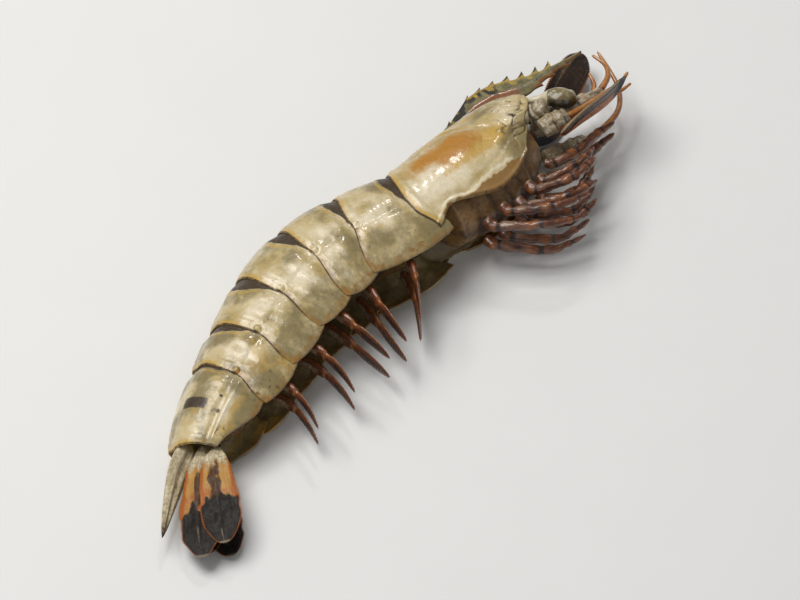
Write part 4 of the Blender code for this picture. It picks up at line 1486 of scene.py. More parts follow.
@dataclass
class Flesh:
    """A body of flesh inside the plates: rings along the spine that swell between the joints."""

    body: Body
    start: float
    end: float
    under: float  # how far it lies below the plates' surface
    depth: Callable[[Array], Array]
    swells: tuple[float, ...] = ()
    rows: int = 150
    columns: int = 64

    def surface(self) -> Surface:
        """Makes the flesh's closed surface.

        Returns:
            The flesh.
        """
        even = np.linspace(0.004, 0.996, self.rows)
        share = even[:, None]
        s = self.start + (self.end - self.start) * share
        angle = np.linspace(0, 2 * math.pi, self.columns, endpoint=False)[None, :]
        spread, rise = np.cos(angle), np.sin(angle)
        fill = np.minimum(1.0, 2.3 * np.sin(math.pi * share) ** 0.6)
        pinch = np.zeros_like(s)
        for joint in self.swells:
            pinch = pinch + hump(s, joint, 1.1)
        below = smooth(rise, 0.2, -0.5)
        width = (hermite(self.body.half_width, s) - self.under) * fill
        tall = np.where(rise > 0, hermite(self.body.back_height, s) - self.under - 0.6,
                        hermite(self.body.belly_depth, s) * self.depth(share))
        lateral = width * spread
        dorsal = tall * fill * rise * (1 - 0.04 * pinch * below)
        places = np.stack(np.broadcast_arrays(s, lateral, dorsal), axis=-1)
        uneven = 1 + 0.03 * ripple(places, 3.0) * below
        points = self.body.point(s, lateral * uneven, dorsal * uneven)
        points[..., 2] = np.maximum(points[..., 2], self.under + 0.1 + self.body.shift[2])
        zones = {
            # Painted shade: darker along the middle of the underside and in the folds where a joint or leg
            # root pinches the flesh.
            Zone.DARK: below * hump(spread, 0.0, 0.25) * 0.6 + 0.5 * pinch * below,
            Zone.PALE: below * hump(np.abs(spread), 0.6, 0.3) * (1 - pinch) * 0.45,
        }
        zones = {zone: np.broadcast_to(mask, lateral.shape) for zone, mask in zones.items()}
        return ringed_surface(points, places, zones)


def head_depth(share: Array) -> Array:
    """How deep the head's flesh reaches, as a share of the head shell's side: shallow at the mouth."""
    return 0.70 + 0.28 * smooth(share, 0.0, 0.35) - 0.18 * smooth(share, 0.5, 1.0)


def tail_depth(share: Array) -> Array:
    """How deep the tail's flesh reaches, as a share of the side plates."""
    return 0.56 + 0 * np.asarray(share)


@dataclass
class Head:
    """What grows at the front of the head: eyes, feelers with their blades and joints, and mouthparts."""

    body: Body
    flesh_front: float = -42.0
    flesh_rear: float = -3.2
    flesh_folds: tuple[float, ...] = (-31, -26, -21, -16, -11)  # where a leg's root pinches the flesh
    eye_paths: Mapping[Side, Path] = field(default_factory=lambda: {
        Side.RIGHT: ((43.2, 3.6, 6.4), (46.5, 6.0, 4.0), (49.6, 7.4, 1.4), (53.0, 7.6, -1.8),
                     (55.4, 7.4, -4.4)),
        Side.LEFT: ((43.0, -2.4, 7.2), (45.8, -3.0, 7.4), (48.6, -3.4, 7.4), (52.2, -4.0, 7.2)),
    })
    scale_paths: Mapping[Side, Path] = field(default_factory=lambda: {
        Side.RIGHT: ((44.3, 7.6, -10.7), (52, 8.0, -9.6), (61, 7.6, -8.0), (70.5, 6.6, -4.9)),
        Side.LEFT: ((44.5, -7.0, 2.2), (52.5, -8.6, 4.2), (62.5, -7.2, 11.2), (72.8, -5.4, 17.0)),
    })
    base_paths: Mapping[Side, Path] = field(default_factory=lambda: {
        Side.RIGHT: ((42.8, 6.2, 0.2), (45.6, 7.5, -0.5), (48.0, 8.4, -1.0)),
        Side.LEFT: ((42.3, -7.0, -1.6), (45.0, -7.8, -2.6), (47.8, -8.2, -3.4)),
    })
    small_feelers: Mapping[Side, tuple[Path, Path, Path]] = field(default_factory=lambda: {
        Side.RIGHT: (((44.5, 2.2, 0.8), (54, 2.6, -0.6), (65.5, 3.0, -2.2)),
                     ((64.8, 3.4, -2.0), (69.2, 3.2, 1.0), (70.9, 3.0, 4.8), (70.1, 3.0, 9.4)),
                     ((64.8, 2.4, -2.6), (69.5, 1.4, -3.6), (74.0, 0.8, -2.6))),
        Side.LEFT: (((44.5, -2.4, 1.4), (54, -3.0, 1.0), (64.5, -2.6, 0.6)),
                    ((64.0, -3.0, 0.9), (67.5, -2.6, 4.6), (68.5, -2.0, 8.4)),
                    ((64.0, -2.2, 0.2), (69.0, -1.6, -0.4), (74.0, -1.4, 0.6))),
    })
    long_feelers: Mapping[Side, tuple[Path, Path]] = field(default_factory=lambda: {
        Side.RIGHT: (((42.5, 5.8, -5.2), (46.5, 6.8, -5.9), (50.5, 6.8, -6.6)),
                     ((49.8, 6.6, -6.4), (57.5, 5.6, -5.8), (65, 5.0, -4.6), (69.5, 5.0, -4.0),
                      (73.4, 5.0, -2.0))),
        Side.LEFT: (((42.5, -4.6, -6.4), (49, -5.2, -7.4), (56, -4.8, -8.2)),
                    ((55, -4.8, -8.1), (62, -5.0, -7.0), (69, -5.2, -4.0), (73, -4.8, 1.4), (74.2, -3.6, 7.4),
                     (74.4, -2.0, 13.4))),
    })

    def path(self, stations: Sequence[Place]) -> list[Array]:
        """Points for some stations: distance ahead of the head shell's rear edge, lateral and dorsal."""
        return [self.body.point(-forward, *offsets) for forward, *offsets in stations]

    def eye(self, side: Side) -> None:
        """The eye: a pale stalk with an olive-brown ball, dark below, under a pale rim.

        Args:
            side: which of the two.
        """
        radius = ((0, 0.9), (0.3, 1.0), (0.46, 1.2), (0.54, 2.0), (0.64, 2.5), (0.76, 2.7), (0.86, 2.4),
                  (0.94, 1.7), (1, 1.0))

        def relief(share: Array, spread: Array, rise: Array) -> Array:
            """The rim stands out a little over the ball."""
            return 0.30 * hump(rise, -0.80, 0.22) * hump(share, 0.70, 0.2) + 0.25 * hump(share, 0.53, 0.03)

        def zones(share: Array, spread: Array, rise: Array) -> Masks:
            """A pale stalk and rim, and a dark lower side."""
            rim = hump(rise, -0.85, 0.25) * smooth(share, 0.96, 0.85)
            return {Zone.PALE: np.maximum(smooth(share, 0.56, 0.50), rim),
                    Zone.DARK: 0.7 * smooth(rise, 0.5, 0.95) * smooth(share, 0.5, 0.6),
                    Zone.GOLD: 0.8 * hump(rise, -0.35, 0.3) * hump(share, 0.8, 0.12)}

        tube = Tube(self.path(self.eye_paths[side]), np.array((0, 0.2, 1.0)), radius, radius, rows=80,
                    columns=40, blunt=0.08, relief=relief, lumps=0.35)
        show_limb(tube.surface(zones), f"eye_{side.word}", EYE)

    def blade(self, side: Side) -> None:
        """The broad blade beside the spike: dark, ribbed, with coloured edges and a hairy margin.

        Args:
            side: which of the two.
        """
        right = side is Side.RIGHT
        leans = (0.97, -0.2) if right else (0.5, 0.86)

        def relief(share: Array, spread: Array, rise: Array) -> Array:
            """A strong rib near the outer edge and fine ribs beside it."""
            ribs = 0.12 * np.cos(spread * 26 + 3 * share) * smooth(np.abs(spread), 1.0, 0.7)
            return 0.30 * hump(spread, 0.55, 0.12) + ribs

        def zones(share: Array, spread: Array, rise: Array) -> Masks:
            """A tan rib along one edge, an orange line along the other, and a blue-black end.

            Args:
                share, spread: places on the tube; rise is not used.

            Returns:
                The masks.
            """
            tip = smooth(share, 0.78, 0.90)
            if right:
                orange = np.maximum(smooth(spread, 0.0, -0.35), 0.5 * hump(spread, 0.62, 0.08)) * (1 - tip)
                tan = smooth(spread, 0.80, 0.93) * (1 - tip)
                return {Zone.ORANGE: orange, Zone.GOLD: tan, Zone.DARK: tip}
            return {Zone.ORANGE: 0.7 * smooth(np.abs(spread), 0.88, 0.98) * smooth(share, 0.97, 0.8),
                    Zone.GOLD: 0.6 * hump(spread, 0.55, 0.08), Zone.DARK: smooth(share, 0.4, 0.2)}

        widths = ((0, 1.5), (0.2, 3.0), (0.5, 3.8 if right else 4.4), (0.85, 4.0), (1, 2.2))
        tube = Tube(self.path(self.scale_paths[side]), self.body.direction(-60, *leans), widths,
                    ((0, 0.9), (0.3, 0.6), (1, 0.3)), rows=140, columns=56, cup=0.1, blunt=0.10,
                    relief=relief, fringe=lambda share: 0.35 * smooth(share, 0.3, 0.6))
        show_limb(tube.surface(zones), f"antennal_scale_{side.word}", DARK_BLADE)

    def base(self, side: Side) -> None:
        """The stout, wrinkled first joint of the antenna.

        Args:
            side: which of the two.
        """
        widest = 2.1 if side is Side.RIGHT else 1.5
        shape = ((0, 0.5), (0.3, 0.95), (0.6, 1.0), (0.85, 0.85), (1, 0.5))
        radius = tuple((share, size * widest) for share, size in shape)

        def relief(share: Array, spread: Array, rise: Array) -> Array:
            """Two creases round the joint, and flat facets."""
            slant = share + 0.10 * spread + 0.06 * rise
            return (0.14 * facets(spread, rise, 4 * share) - 0.14 * hump(slant, 0.42, 0.05)
                    - 0.10 * hump(slant, 0.72, 0.04))

        def zones(share: Array, spread: Array, rise: Array) -> Masks:
            """Dark creases between pale lumps."""
            slant = share + 0.10 * spread + 0.06 * rise
            return {Zone.DARK: 0.65 * hump(slant, 0.42, 0.03) + 0.6 * hump(slant, 0.72, 0.03),
                    Zone.PALE: 0.8 * hump(share, 0.57, 0.1) + 0.6 * hump(share, 0.25, 0.1)}

        tube = Tube(self.path(self.base_paths[side]), UP, radius, radius, columns=44, blunt=0.2,
                    relief=relief, lumps=0.6, lump_size=1.3)
        show_limb(tube.surface(zones), f"antenna_base_{side.word}", CHEEK)

    def stem(self, path: Path, radius: Stations, creases: tuple[float, ...], hollow: float) -> Surface:
        """The stem of a feeler: pale, wrinkled joints with dark creases between them.

        Args:
            path: stations of the head.
            radius: the stem's radius along it.
            creases: shares at which a joint ends.
            hollow: depth of the scoop along its upper side.

        Returns:
            The stem.
        """

        def relief(share: Array, spread: Array, rise: Array) -> Array:
            """Creases, facets and the scoop.

            Args:
                share, spread, rise: places on the tube.

            Returns:
                The height.
            """
            slant = share + 0.05 * spread
            total = 0.12 * facets(spread, rise, 5 * share) - hollow * hump(spread, 0.9, 0.4)
            for crease in creases:
                total = total - 0.15 * hump(slant, crease, 0.03) + 0.06 * hump(slant, crease - 0.06, 0.03)
            return total

        def zones(share: Array, spread: Array, rise: Array) -> Masks:
            """Dark creases, and brown-orange marks beside them.

            Args:
                share, spread, rise: places on the tube.

            Returns:
                The masks.
            """
            dark = sum(0.5 * hump(share + 0.05 * spread, crease, 0.03) for crease in creases)
            dark = dark + 0.4 * hump(rise, 0.6, 0.2)
            orange = 0.5 * smooth(np.cos(share * 23 + 2 * spread), 0.6, 1.0)
            return {Zone.DARK: dark, Zone.ORANGE: orange, Zone.PALE: 0.8 * hump(spread, 0.5, 0.3)}

        tube = Tube(self.path(path), UP, radius, radius, rows=90, columns=34, relief=relief, lumps=0.55,
                    lump_size=1.4)
        return tube.surface(zones)

    def whip(self, path: Path, radius: Stations, rows: int) -> Surface:
        """A whip of many small rings, gold on top and darker at its root.

        Args:
            path: stations of the head.
            radius: the whip's radius along it.
            rows: how many rings of vertices.

        Returns:
            The whip.
        """

        def zones(share: Array, spread: Array, rise: Array) -> Masks:
            """Gold along the upper side and towards the end."""
            return {Zone.GOLD: 0.55 * smooth(spread, 0.4, 0.95) + 0.3 * smooth(share, 0.6, 1.0),
                    Zone.DARK: 0.5 * smooth(share, 0.2, 0.0)}

        return Tube(self.path(path), UP, radius, radius, rows, columns=12, relief=annuli).surface(zones)

    def small_feeler(self, side: Side) -> None:
        """The antennule: a stout stem of three joints that ends in two short whips.

        Args:
            side: which of the two.
        """
        stem, outer, inner = self.small_feelers[side]
        radius = ((0, 1.9), (0.32, 2.0), (0.36, 1.6), (0.66, 1.8), (0.7, 1.4), (1, 1.2))
        node = f"antennule_{side.word}"
        whips = [self.whip(outer, ((0, 0.9), (1, 0.35)), 120), self.whip(inner, ((0, 0.8), (1, 0.3)), 100)]
        show(self.stem(stem, radius, (0.34, 0.68), 0.6), f"{node}_stem", node, CHEEK)
        show(joined(whips), f"{node}_whips", node, WHISKER)

    def long_feeler(self, side: Side) -> None:
        """The antenna: a thick stem, and what is left of its whip.

        Args:
            side: which of the two.
        """
        stem, whip = self.long_feelers[side]
        radius = ((0, 2.4), (0.4, 2.8), (0.5, 2.4), (0.8, 2.4), (1, 1.6))
        node = f"antenna_{side.word}"
        show(self.stem(stem, radius, (0.45, 0.8), 0.0), f"{node}_stem", node, CHEEK)
        show(self.whip(whip, ((0, 1.0), (1, 0.4)), 200), f"{node}_whip", node, WHISKER)

    def breast(self, forward: float, lateral: float) -> float:
        """Dorsal coordinate of the head flesh's underside, where the legs start.

        Args:
            forward: distance ahead of the head shell's rear edge.
            lateral: offset from the middle.

        Returns:
            The coordinate, in millimetres.
        """
        deepest = 0.0
        for ahead in (-1.6, 0.0, 1.6):
            share = (-forward - ahead - self.flesh_front) / (self.flesh_rear - self.flesh_front)
            depth = -float(hermite(self.body.belly_depth, -forward - ahead)) * float(head_depth(share))
            deepest = min(deepest, depth)
        width = float(hermite(self.body.half_width, -forward)) - HEAD_INSET
        inner_edge = max(abs(lateral) - 1.5, 0.0)
        return deepest * math.sqrt(1 - (inner_edge / width) ** 2)

    def mouth_leg(self, side: Side) -> None:
        """The long leg-like mouthpart that points forward under the head.

        Args:
            side: which of the two.
        """
        sign = side.value
        lateral = sign * 2.6
        start = self.breast(37, lateral)
        path = self.path([(37, lateral, start - 0.6), (39, lateral, start - 2.3), (47, sign * 2.9, -14.6),
                          (55, sign * 2.6, -13.0), (62, sign * 2.2, -12.0)])
        radius = ((0, 1.2), (0.5, 1.3), (0.8, 1.0), (1, 0.4))
        joints = Joints((0.20, 0.44, 0.76), sign * 1.3)
        tube = Tube(path, UP, radius, radius, rows=90, columns=20, relief=joints.relief, lumps=0.35)
        show_limb(tube.surface(joints.zones), f"maxilliped_{side.word}", LEG)

    def build(self) -> None:
        """Makes every piece of the front of the head, side by side."""
        for side in Side:
            self.eye(side)
            self.blade(side)
            self.base(side)
            self.small_feeler(side)
            self.long_feeler(side)
            self.mouth_leg(side)


def joined(surfaces: Sequence[Surface]) -> Surface:
    """Several surfaces as one piece.

    Args:
        surfaces: what to join.

    Returns:
        One surface with all their masks.
    """
    faces: list[list[int]] = []
    start = 0
    for surface in surfaces:
        faces += [[index + start for index in face] for face in surface.faces]
        start += len(surface.points)
    zones = {zone: np.concatenate([one.zones.get(zone, np.zeros(len(one.points))) for one in surfaces])
             for zone in Zone}
    return Surface(np.concatenate([one.points for one in surfaces]), faces,
                   np.concatenate([one.unbent for one in surfaces]), zones)


def annuli(share: Array, spread: Array, rise: Array) -> Array:
    """Relief of a whip: many small rings."""
    return 0.05 * np.cos(share * 2 * math.pi * WHIP_RINGS)


def facets(spread: Array, rise: Array, twist: Array) -> Array:
    """Five flat facets round a joint, which wind on by the twist, from 0 to 1."""
    return np.abs(np.cos(np.arctan2(rise, spread) * 2.5 + twist))


@dataclass(frozen=True)
class Joints:
    """The joints of a leg, which differ a little from leg to leg."""

    places: tuple[float, ...]  # shares of the leg's length
    seed: float

    def relief(self, share: Array, spread: Array, rise: Array) -> Array:
        """Swollen knuckles with a crease after each, on slightly flattened joints.

        Args:
            share, spread: places on the tube; rise is not used.

        Returns:
            The height.
        """
        total = 0.06 * np.cos(share * 21 + self.seed) - 0.10 * hump(spread, 0.0, 0.3)
        for place in self.places:
            total = total + 0.20 * hump(share, place, 0.035) - 0.22 * hump(share, place + 0.05, 0.014)
        return total

    def zones(self, share: Array, spread: Array, rise: Array) -> Masks:
        """Dull orange knuckles, dark creases and dark bands, a pale root.

        Args:
            share, spread: places on the tube; rise is not used.

        Returns:
            The masks.
        """
        orange, dark = 0 * share, 0.4 * smooth(np.sin(share * 17 + 3 * self.seed + 0.6 * spread), 0.2, 0.9)
        for place in self.places:
            orange = orange + 0.5 * hump(share, place, 0.04)
            dark = dark + 0.9 * hump(share, place + 0.05, 0.015)
        pale = smooth(share, 0.10, 0.0) + 0.4 * hump(share, 0.3, 0.06) * smooth(spread, 0.2, 0.8)
        return {Zone.ORANGE: orange + 0.5 * smooth(share, 0.85, 1.0), Zone.DARK: dark, Zone.PALE: pale}


@dataclass
class Legs:
    """The ten walking legs, folded forward under the head, and the ten swimmerets under the tail."""

    body: Body
    head: Head
    walking: tuple[tuple[float, float, float, float, float], ...] = (
        (31.5, 9, 10, 12, 26), (26.5, 10, 12, 25, 35), (21.4, 11, 12, 34, 33), (16.2, 11, 12, 44, 32),
        (11.0, 12, 12, 53, 30))  # start, lengths of the two long joints, slope of the first, and bend
    swimmeret_lengths: tuple[float, ...] = (22, 24, 23, 20, 17)
    swimmeret_shape: Path = ((0.0, 0.33, 0.0), (0.8, 0.34, 0.25), (2.4, 0.34, 0.47), (5.6, 0.34, 0.75),
                             (9.5, 0.32, 1.0))  # back, outward as a share of the width, down of the length
    clawed: int = 3  # how many pairs of walking legs end in claws

    def walking_leg(self, number: int, side: Side) -> None:
        """A walking leg: down from the breast, then forward, bent at the knee, with a claw or a point.

        Args:
            number: 1 for the pair nearest the mouth.
            side: its side.
        """
        sign = side.value
        start, upper, lower, slope, bend = self.walking[number - 1]
        lateral = 3.6 if number % 2 else 5.0
        first, second = math.radians(slope), math.radians(slope - bend)
        top = self.head.breast(start, lateral)
        drop = 3.2 if number == 1 else 4.2
        knee = (start + 1 + upper * math.cos(first), top - drop - upper * math.sin(first))
        end = (knee[0] + lower * math.cos(second), knee[1] - lower * math.sin(second))
        path = self.head.path([
            (start, sign * lateral, top - 0.6), (start + 0.6, sign * lateral, top - drop),
            (knee[0], sign * (lateral + 1.4), knee[1]),
            ((knee[0] + end[0]) / 2, sign * (lateral + 1.0), (knee[1] + end[1]) / 2 - 0.5),
            (end[0], sign * lateral, end[1])])
        claw = 1.15 if number <= self.clawed else 0.8
        radius = ((0, 1.5), (0.15, 1.5), (0.45, 1.1), (0.52, 1.2), (0.6, 0.9), (0.8, claw), (1, 0.35))
        places = (0.16 + 0.01 * number, 0.46 - 0.008 * number, 0.70 + 0.012 * number)
        joints = Joints(places, number + 0.6 * sign)
        tube = Tube(path, UP, radius, radius, rows=100, columns=20, relief=joints.relief, lumps=0.35)
        show_limb(tube.surface(joints.zones), f"walking_leg_{number}_{side.word}", LEG)

    def swimmeret(self, number: int, side: Side) -> None:
        """A swimmeret: a stout stem, then a narrow ribbed blade with hairs along its edges.

        Args:
            number: the tail segment that it hangs from.
            side: its side.
        """
        s = (JOINTS[number - 1] + JOINTS[number]) / 2 + 1.0
        width = float(hermite(self.body.half_width, s))
        depth = float(hermite(self.body.belly_depth, s))
        length = self.swimmeret_lengths[number - 1]
        top = -0.60 * depth
        path = [self.body.point(s + back, side.value * width * out, top - length * down)
                for back, out, down in self.swimmeret_shape]
        widths = ((0, 0.10), (0.15, 0.16), (0.42, 0.16), (0.49, 0.11), (0.6, 0.17), (0.85, 0.12), (1, 0.03))
        wide = tuple((share, size * width) for share, size in widths)
        thick = ((0, 1.2), (0.3, 1.3), (0.45, 0.9), (0.6, 0.6), (1, 0.25))

        def relief(share: Array, spread: Array, rise: Array) -> Array:
            """A groove down the stem and ribs on the blade."""
            ribs = 0.10 * np.cos(share * 150) * smooth(share, 0.5, 0.6)
            return (ribs - 0.25 * hump(spread, 0.0, 0.2) * smooth(share, 0.44, 0.38)
                    - 0.3 * hump(share, 0.47, 0.015))

        def zones(share: Array, spread: Array, rise: Array) -> Masks:
            """Pale mottled stem, orange joint, dark blade."""
            return {Zone.PALE: 0.55 * smooth(share, 0.42, 0.3) * smooth(np.abs(spread), 0.9, 0.5),
                    Zone.ORANGE: 0.7 * hump(share, 0.47, 0.03) + 0.5 * smooth(np.abs(spread), 0.88, 1.0),
                    Zone.DARK: 0.9 * hump(share, 0.75, 0.2) * smooth(np.abs(spread), 0.8, 0.4)}

        tube = Tube(path, UP, wide, thick, rows=150, columns=28, relief=relief,
                    fringe=lambda share: 0.5 * smooth(share, 0.5, 0.6))
        show_limb(tube.surface(zones), f"swimmeret_{number}_{side.word}", LEG)

    def build(self) -> None:
        """Makes the legs and swimmerets of both sides."""
        for side in Side:
            for number in range(1, 6):
                self.walking_leg(number, side)
                self.swimmeret(number, side)


@dataclass
class TailFan:
    """The half closed tail fan: a pointed middle blade and two broad ones on each side."""

    body: Body
    middle: float = TAIL_END + 10
    telson_path: Stations = ((-2.6, 4.1), (5, 5.8), (15, 7.8), (26, 9.8))
    paths: Mapping[str, Path] = field(default_factory=lambda: {
        "uropod_inner_right": ((-2.6, 1.6, 0.9), (6, 1.2, 0.1), (18, 0.8, 0.3), (32, -0.2, 0.0)),
        "uropod_outer_right": ((-2.6, 3.0, -2.6), (6, 3.6, -3.6), (16, 3.2, -4.8), (29, 1.6, -5.8)),
        "uropod_inner_left": ((-2.6, -0.8, 0.2), (6, -1.4, -0.8), (17, -1.6, -1.2), (29, -2.2, -2.2)),
        "uropod_outer_left": ((-2.6, -2.6, -2.6), (6, -3.1, -3.8), (17, -3.4, -5.4), (29, -3.8, -7.4)),
    })

    def telson(self) -> None:
        """The middle blade: grooved along its top, cream with dark specks, grey towards its sharp tip."""
        path = [self.body.point(TAIL_END + back, 0.6, rise) for back, rise in self.telson_path]

        def relief(share: Array, spread: Array, rise: Array) -> Array:
            """A groove down the middle between two ridges."""
            ridges = 0.35 * hump(np.abs(spread), 0.42, 0.14)
            return (ridges - 0.30 * hump(spread, 0.0, 0.16)) * smooth(share, 1.0, 0.7)

        def zones(share: Array, spread: Array, rise: Array) -> Masks:
            """A dark tip, a gold root, painted shade in the middle groove and a painted highlight on the two
            ridges.
            """
            return {Zone.DARK: 0.6 * smooth(share, 0.80, 1.0), Zone.GOLD: 0.7 * smooth(share, 0.12, 0.04),
                    # The groove's brown is painted shade and the ridges' pale a painted highlight; the rest
                    # is the tip's own darkening.
                    Zone.BROWN: 0.35 * hump(spread, 0.0, 0.08) + 0.6 * smooth(share, 0.75, 0.95),
                    Zone.PALE: 0.7 * hump(np.abs(spread), 0.42, 0.12) * smooth(share, 0.8, 0.5)}

        wide = ((0, 2.2), (0.2, 3.4), (0.5, 2.7), (0.8, 1.5), (1, 0.3))
        thick = ((0, 1.0), (0.3, 1.3), (0.7, 0.9), (1, 0.4))
        tube = Tube(path, self.body.direction(self.middle, 0.7, 0.72), wide, thick, rows=130, columns=48,
                    blunt=0.1, relief=relief)
        show_limb(tube.surface(zones), "telson", FAN)

    def uropod(self, name: str) -> None:
        """A side blade: cream root, orange loop round a dark middle, black round end, and hairs.

        Args:
            name: its node.
        """
        path = [self.body.point(TAIL_END + back, *offsets) for back, *offsets in self.paths[name]]
        widest = 4.8 if "right" in name else 4.4
        shape = ((0, 0.25), (0.25, 0.7), (0.6, 1), (0.86, 0.95), (1, 0.72))
        wide = tuple((share, size * widest) for share, size in shape)
        thick = ((0, 1.0), (0.2, 0.9), (0.35, 0.5), (1, 0.3))
        seed = sum(map(ord, name)) % 17

        def relief(share: Array, spread: Array, rise: Array) -> Array:
            """Two ridges that run from the root to the tip, and fine ribs that fan out from them.

            Args:
                share, spread: places on the tube; rise is not used.

            Returns:
                The height.
            """
            ridge = 0.42 * hump(spread, 0.10, 0.09) + 0.25 * hump(spread, 0.30, 0.06)
            ribs = 0.09 * np.cos(spread * 34 + share * 6) * smooth(share, 0.3, 0.6)
            return ridge * smooth(share, 1.0, 0.75) + ribs * smooth(np.abs(spread), 1.0, 0.8)

        def zones(share: Array, spread: Array, rise: Array) -> Masks:
            """The blade's colours along its length and across it.

            Args:
                share, spread: places on the tube; rise is not used.

            Returns:
                The masks.
            """
            uneven = ripple(np.stack([share * 16, spread * 3.5, 0 * share], axis=-1), 1.6, seed)
            wave = 0.02 * np.cos(spread * 7 + seed) + 0.015 * np.cos(spread * 15 + 2 * seed) + 0.06 * uneven
            along = share + wave
            edge = smooth(np.abs(spread), 0.72, 0.9)
            black = smooth(along - 0.06 * edge, 0.56, 0.70) * (1 - 0.7 * smooth(np.abs(spread), 0.95, 0.99))
            middle = smooth(np.abs(spread - 0.15 + 4 * wave), 0.40, 0.10) * smooth(along, 0.22, 0.40)
            side_veins = np.maximum(np.cos(spread * 17 + share * 5), 0) ** 12
            # Pale veins, with painted glints along the main ridge.
            veins_and_glints = 0.8 * hump(spread, 0.10, 0.03) + 0.25 * side_veins
            return {
                Zone.DARK: black,
                Zone.GOLD: smooth(along, 0.22, 0.36),
                Zone.BROWN: middle,
                Zone.ORANGE: edge * smooth(share, 0.15, 0.35) + 0.6 * hump(along, 0.58, 0.06),
                Zone.PALE: 0.7 * veins_and_glints * smooth(share, 0.70, 0.85) * smooth(uneven, -0.4, 0.1)
                           + 0.9 * smooth(share, 0.975, 0.99),
            }

        tube = Tube(path, self.body.direction(self.middle, -0.2, 1.0), wide, thick, rows=170, columns=64,
                    blunt=0.20, relief=relief, fringe=lambda share: 0.45 * smooth(share, 0.45, 0.7),
                    lumps=0.4, lump_size=3.0)
        show_limb(tube.surface(zones), name, FAN)

    def build(self) -> None:
        """Makes the five blades."""
        self.telson()
        for name in self.paths:
            self.uropod(name)


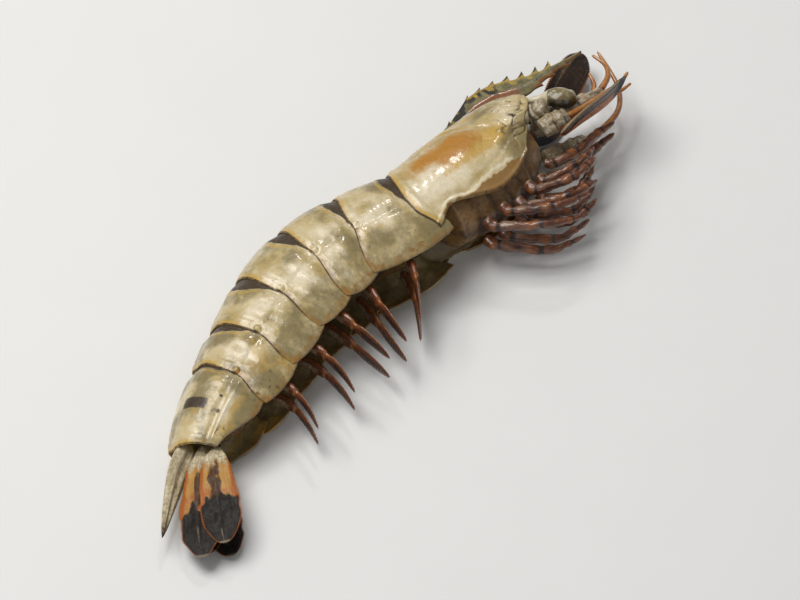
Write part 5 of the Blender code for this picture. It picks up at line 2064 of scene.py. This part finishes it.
@dataclass
class Studio:
    """A pale floor, soft light and a long-lens camera at the photograph's viewing angle."""

    azimuth: float = -57.0
    elevation: float = 49.0
    lens: float = 600.0
    sensor: float = 36.0
    view_width: float = 0.203  # metres across the picture at the prawn
    target: Place = (-0.002, -0.0053, 0.010)  # what the camera faces, in metres
    floor_half: float = 3.0
    floor_depth: float = 0.02
    floor_colour: Colour = (0.80, 0.80, 0.79)

    def away(self) -> Vector:
        """Direction from the prawn to the camera."""
        a, e = math.radians(self.azimuth), math.radians(self.elevation)
        return Vector((math.sin(a) * math.cos(e), -math.cos(a) * math.cos(e), math.sin(e)))

    def camera(self) -> None:
        """Makes the camera."""
        data = bpy.data.cameras.new("camera")
        data.lens = self.lens
        data.sensor_width = self.sensor
        data.clip_end = 20.0
        made = bpy.data.objects.new("camera", data)
        distance = self.lens / self.sensor * self.view_width
        made.location = Vector(self.target) + self.away() * distance
        made.rotation_euler = self.away().to_track_quat("Z", "Y").to_euler()
        bpy.context.scene.collection.objects.link(made)
        bpy.context.scene.camera = made

    def light(self, name: str, place: Place, size: float, watts: float, colour: Colour) -> None:
        """Makes a square soft light that faces the prawn.

        Args:
            name: its name.
            place: where it hangs, in metres.
            size: its side, in metres.
            watts: its power.
            colour: its colour.
        """
        data = bpy.data.lights.new(name, "AREA")
        data.size = size
        data.energy = watts
        data.color = colour
        made = bpy.data.objects.new(name, data)
        made.location = place
        made.rotation_euler = Vector(place).to_track_quat("Z", "Y").to_euler()
        bpy.context.scene.collection.objects.link(made)

    def floor(self) -> None:
        """Makes the floor, a thin slab with a faint grain."""
        half, around = self.floor_half, ((-1, -1), (1, -1), (1, 1), (-1, 1))
        corners = [(x * half, y * half, z) for z in (-self.floor_depth, 0.0) for x, y in around]
        faces = [(0, 3, 2, 1), (4, 5, 6, 7), (0, 1, 5, 4), (1, 2, 6, 5), (2, 3, 7, 6), (3, 0, 4, 7)]
        mesh = bpy.data.meshes.new("floor")
        mesh.from_pydata(corners, [], faces)
        made = bpy.data.objects.new("floor", mesh)
        bpy.context.scene.collection.objects.link(made)
        paper = bpy.data.materials.new("Pale paper")
        paper.use_nodes = True
        shader = paper.node_tree.nodes["Principled BSDF"]
        net = Network(paper.node_tree)
        grain = net.noise(net.add("TexCoord").outputs["Object"], 40.0, 3.0)
        shade = tuple(0.97 * value for value in self.floor_colour)
        paper.node_tree.links.new(net.mix(grain, self.floor_colour, shade), shader.inputs["Base Color"])
        shader.inputs["Roughness"].default_value = 0.7
        mesh.materials.append(paper)

    def build(self) -> None:
        """Makes the camera, the lights, the sky and the floor."""
        self.camera()
        self.light("overhead", (-0.10, 0.40, 0.9), 0.6, 7.8, (1.0, 0.985, 0.96))
        self.light("glint", (0.62, 0.36, 0.80), 0.10, 1.1, (1.0, 1.0, 1.0))
        self.light("fill", (-0.9, -0.5, 0.5), 0.8, 1.5, (0.96, 0.98, 1.0))
        self.floor()
        world = bpy.data.worlds.new("soft sky")
        bpy.context.scene.world = world
        world.use_nodes = True
        sky = world.node_tree.nodes["Background"]
        sky.inputs["Color"].default_value = (1.0, 1.0, 1.0, 1.0)
        sky.inputs["Strength"].default_value = 0.22
        bpy.context.scene.view_settings.view_transform = "Standard"


def aligned_body() -> Body:
    """The body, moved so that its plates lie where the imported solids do.

    Returns:
        The body.
    """
    body = Body()
    s, turn, share = TailPlate(body, number=3).grid(7, 19, even=True)
    points = body.skin(s, turn, NEST * smooth(share, 0.75, 0.1)).reshape(-1, 3)
    low, high = (np.array(corner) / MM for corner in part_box("segment_3"))
    shift = (low + high) / 2 - (points.min(axis=0) + points.max(axis=0)) / 2
    shift[2] = low[2] - points[:, 2].min()
    body.shift = shift
    return body


def main() -> None:
    """Builds the prawn piece by piece, then the studio."""
    logging.basicConfig(level=logging.INFO, format="%(name)s: %(message)s")
    body = aligned_body()
    show(HeadShell(body).surface(), "head_shell", "carapace", SHELL)
    show(Spike(body).surface(), "spike", "carapace", SPIKE)
    for number in range(1, len(SEGMENT_LENGTHS) + 1):
        plate = TailPlate(body, number=number)
        show(plate.surface(), f"tail_plate_{number}", f"segment_{number}", SHELL)
    head = Head(body)
    tail = Flesh(body, -1.5, TAIL_END - 5.0, TAIL_INSET, tail_depth, JOINTS[1:-1])
    show_limb(tail.surface(), "tail_flesh", FLESH)
    breast = Flesh(body, head.flesh_front, head.flesh_rear, HEAD_INSET, head_depth, head.flesh_folds)
    show_limb(breast.surface(), "head_flesh", FLESH)
    head.build()
    Legs(body, head).build()
    TailFan(body).build()
    Studio().build()


if __name__ == "__main__":
    main()
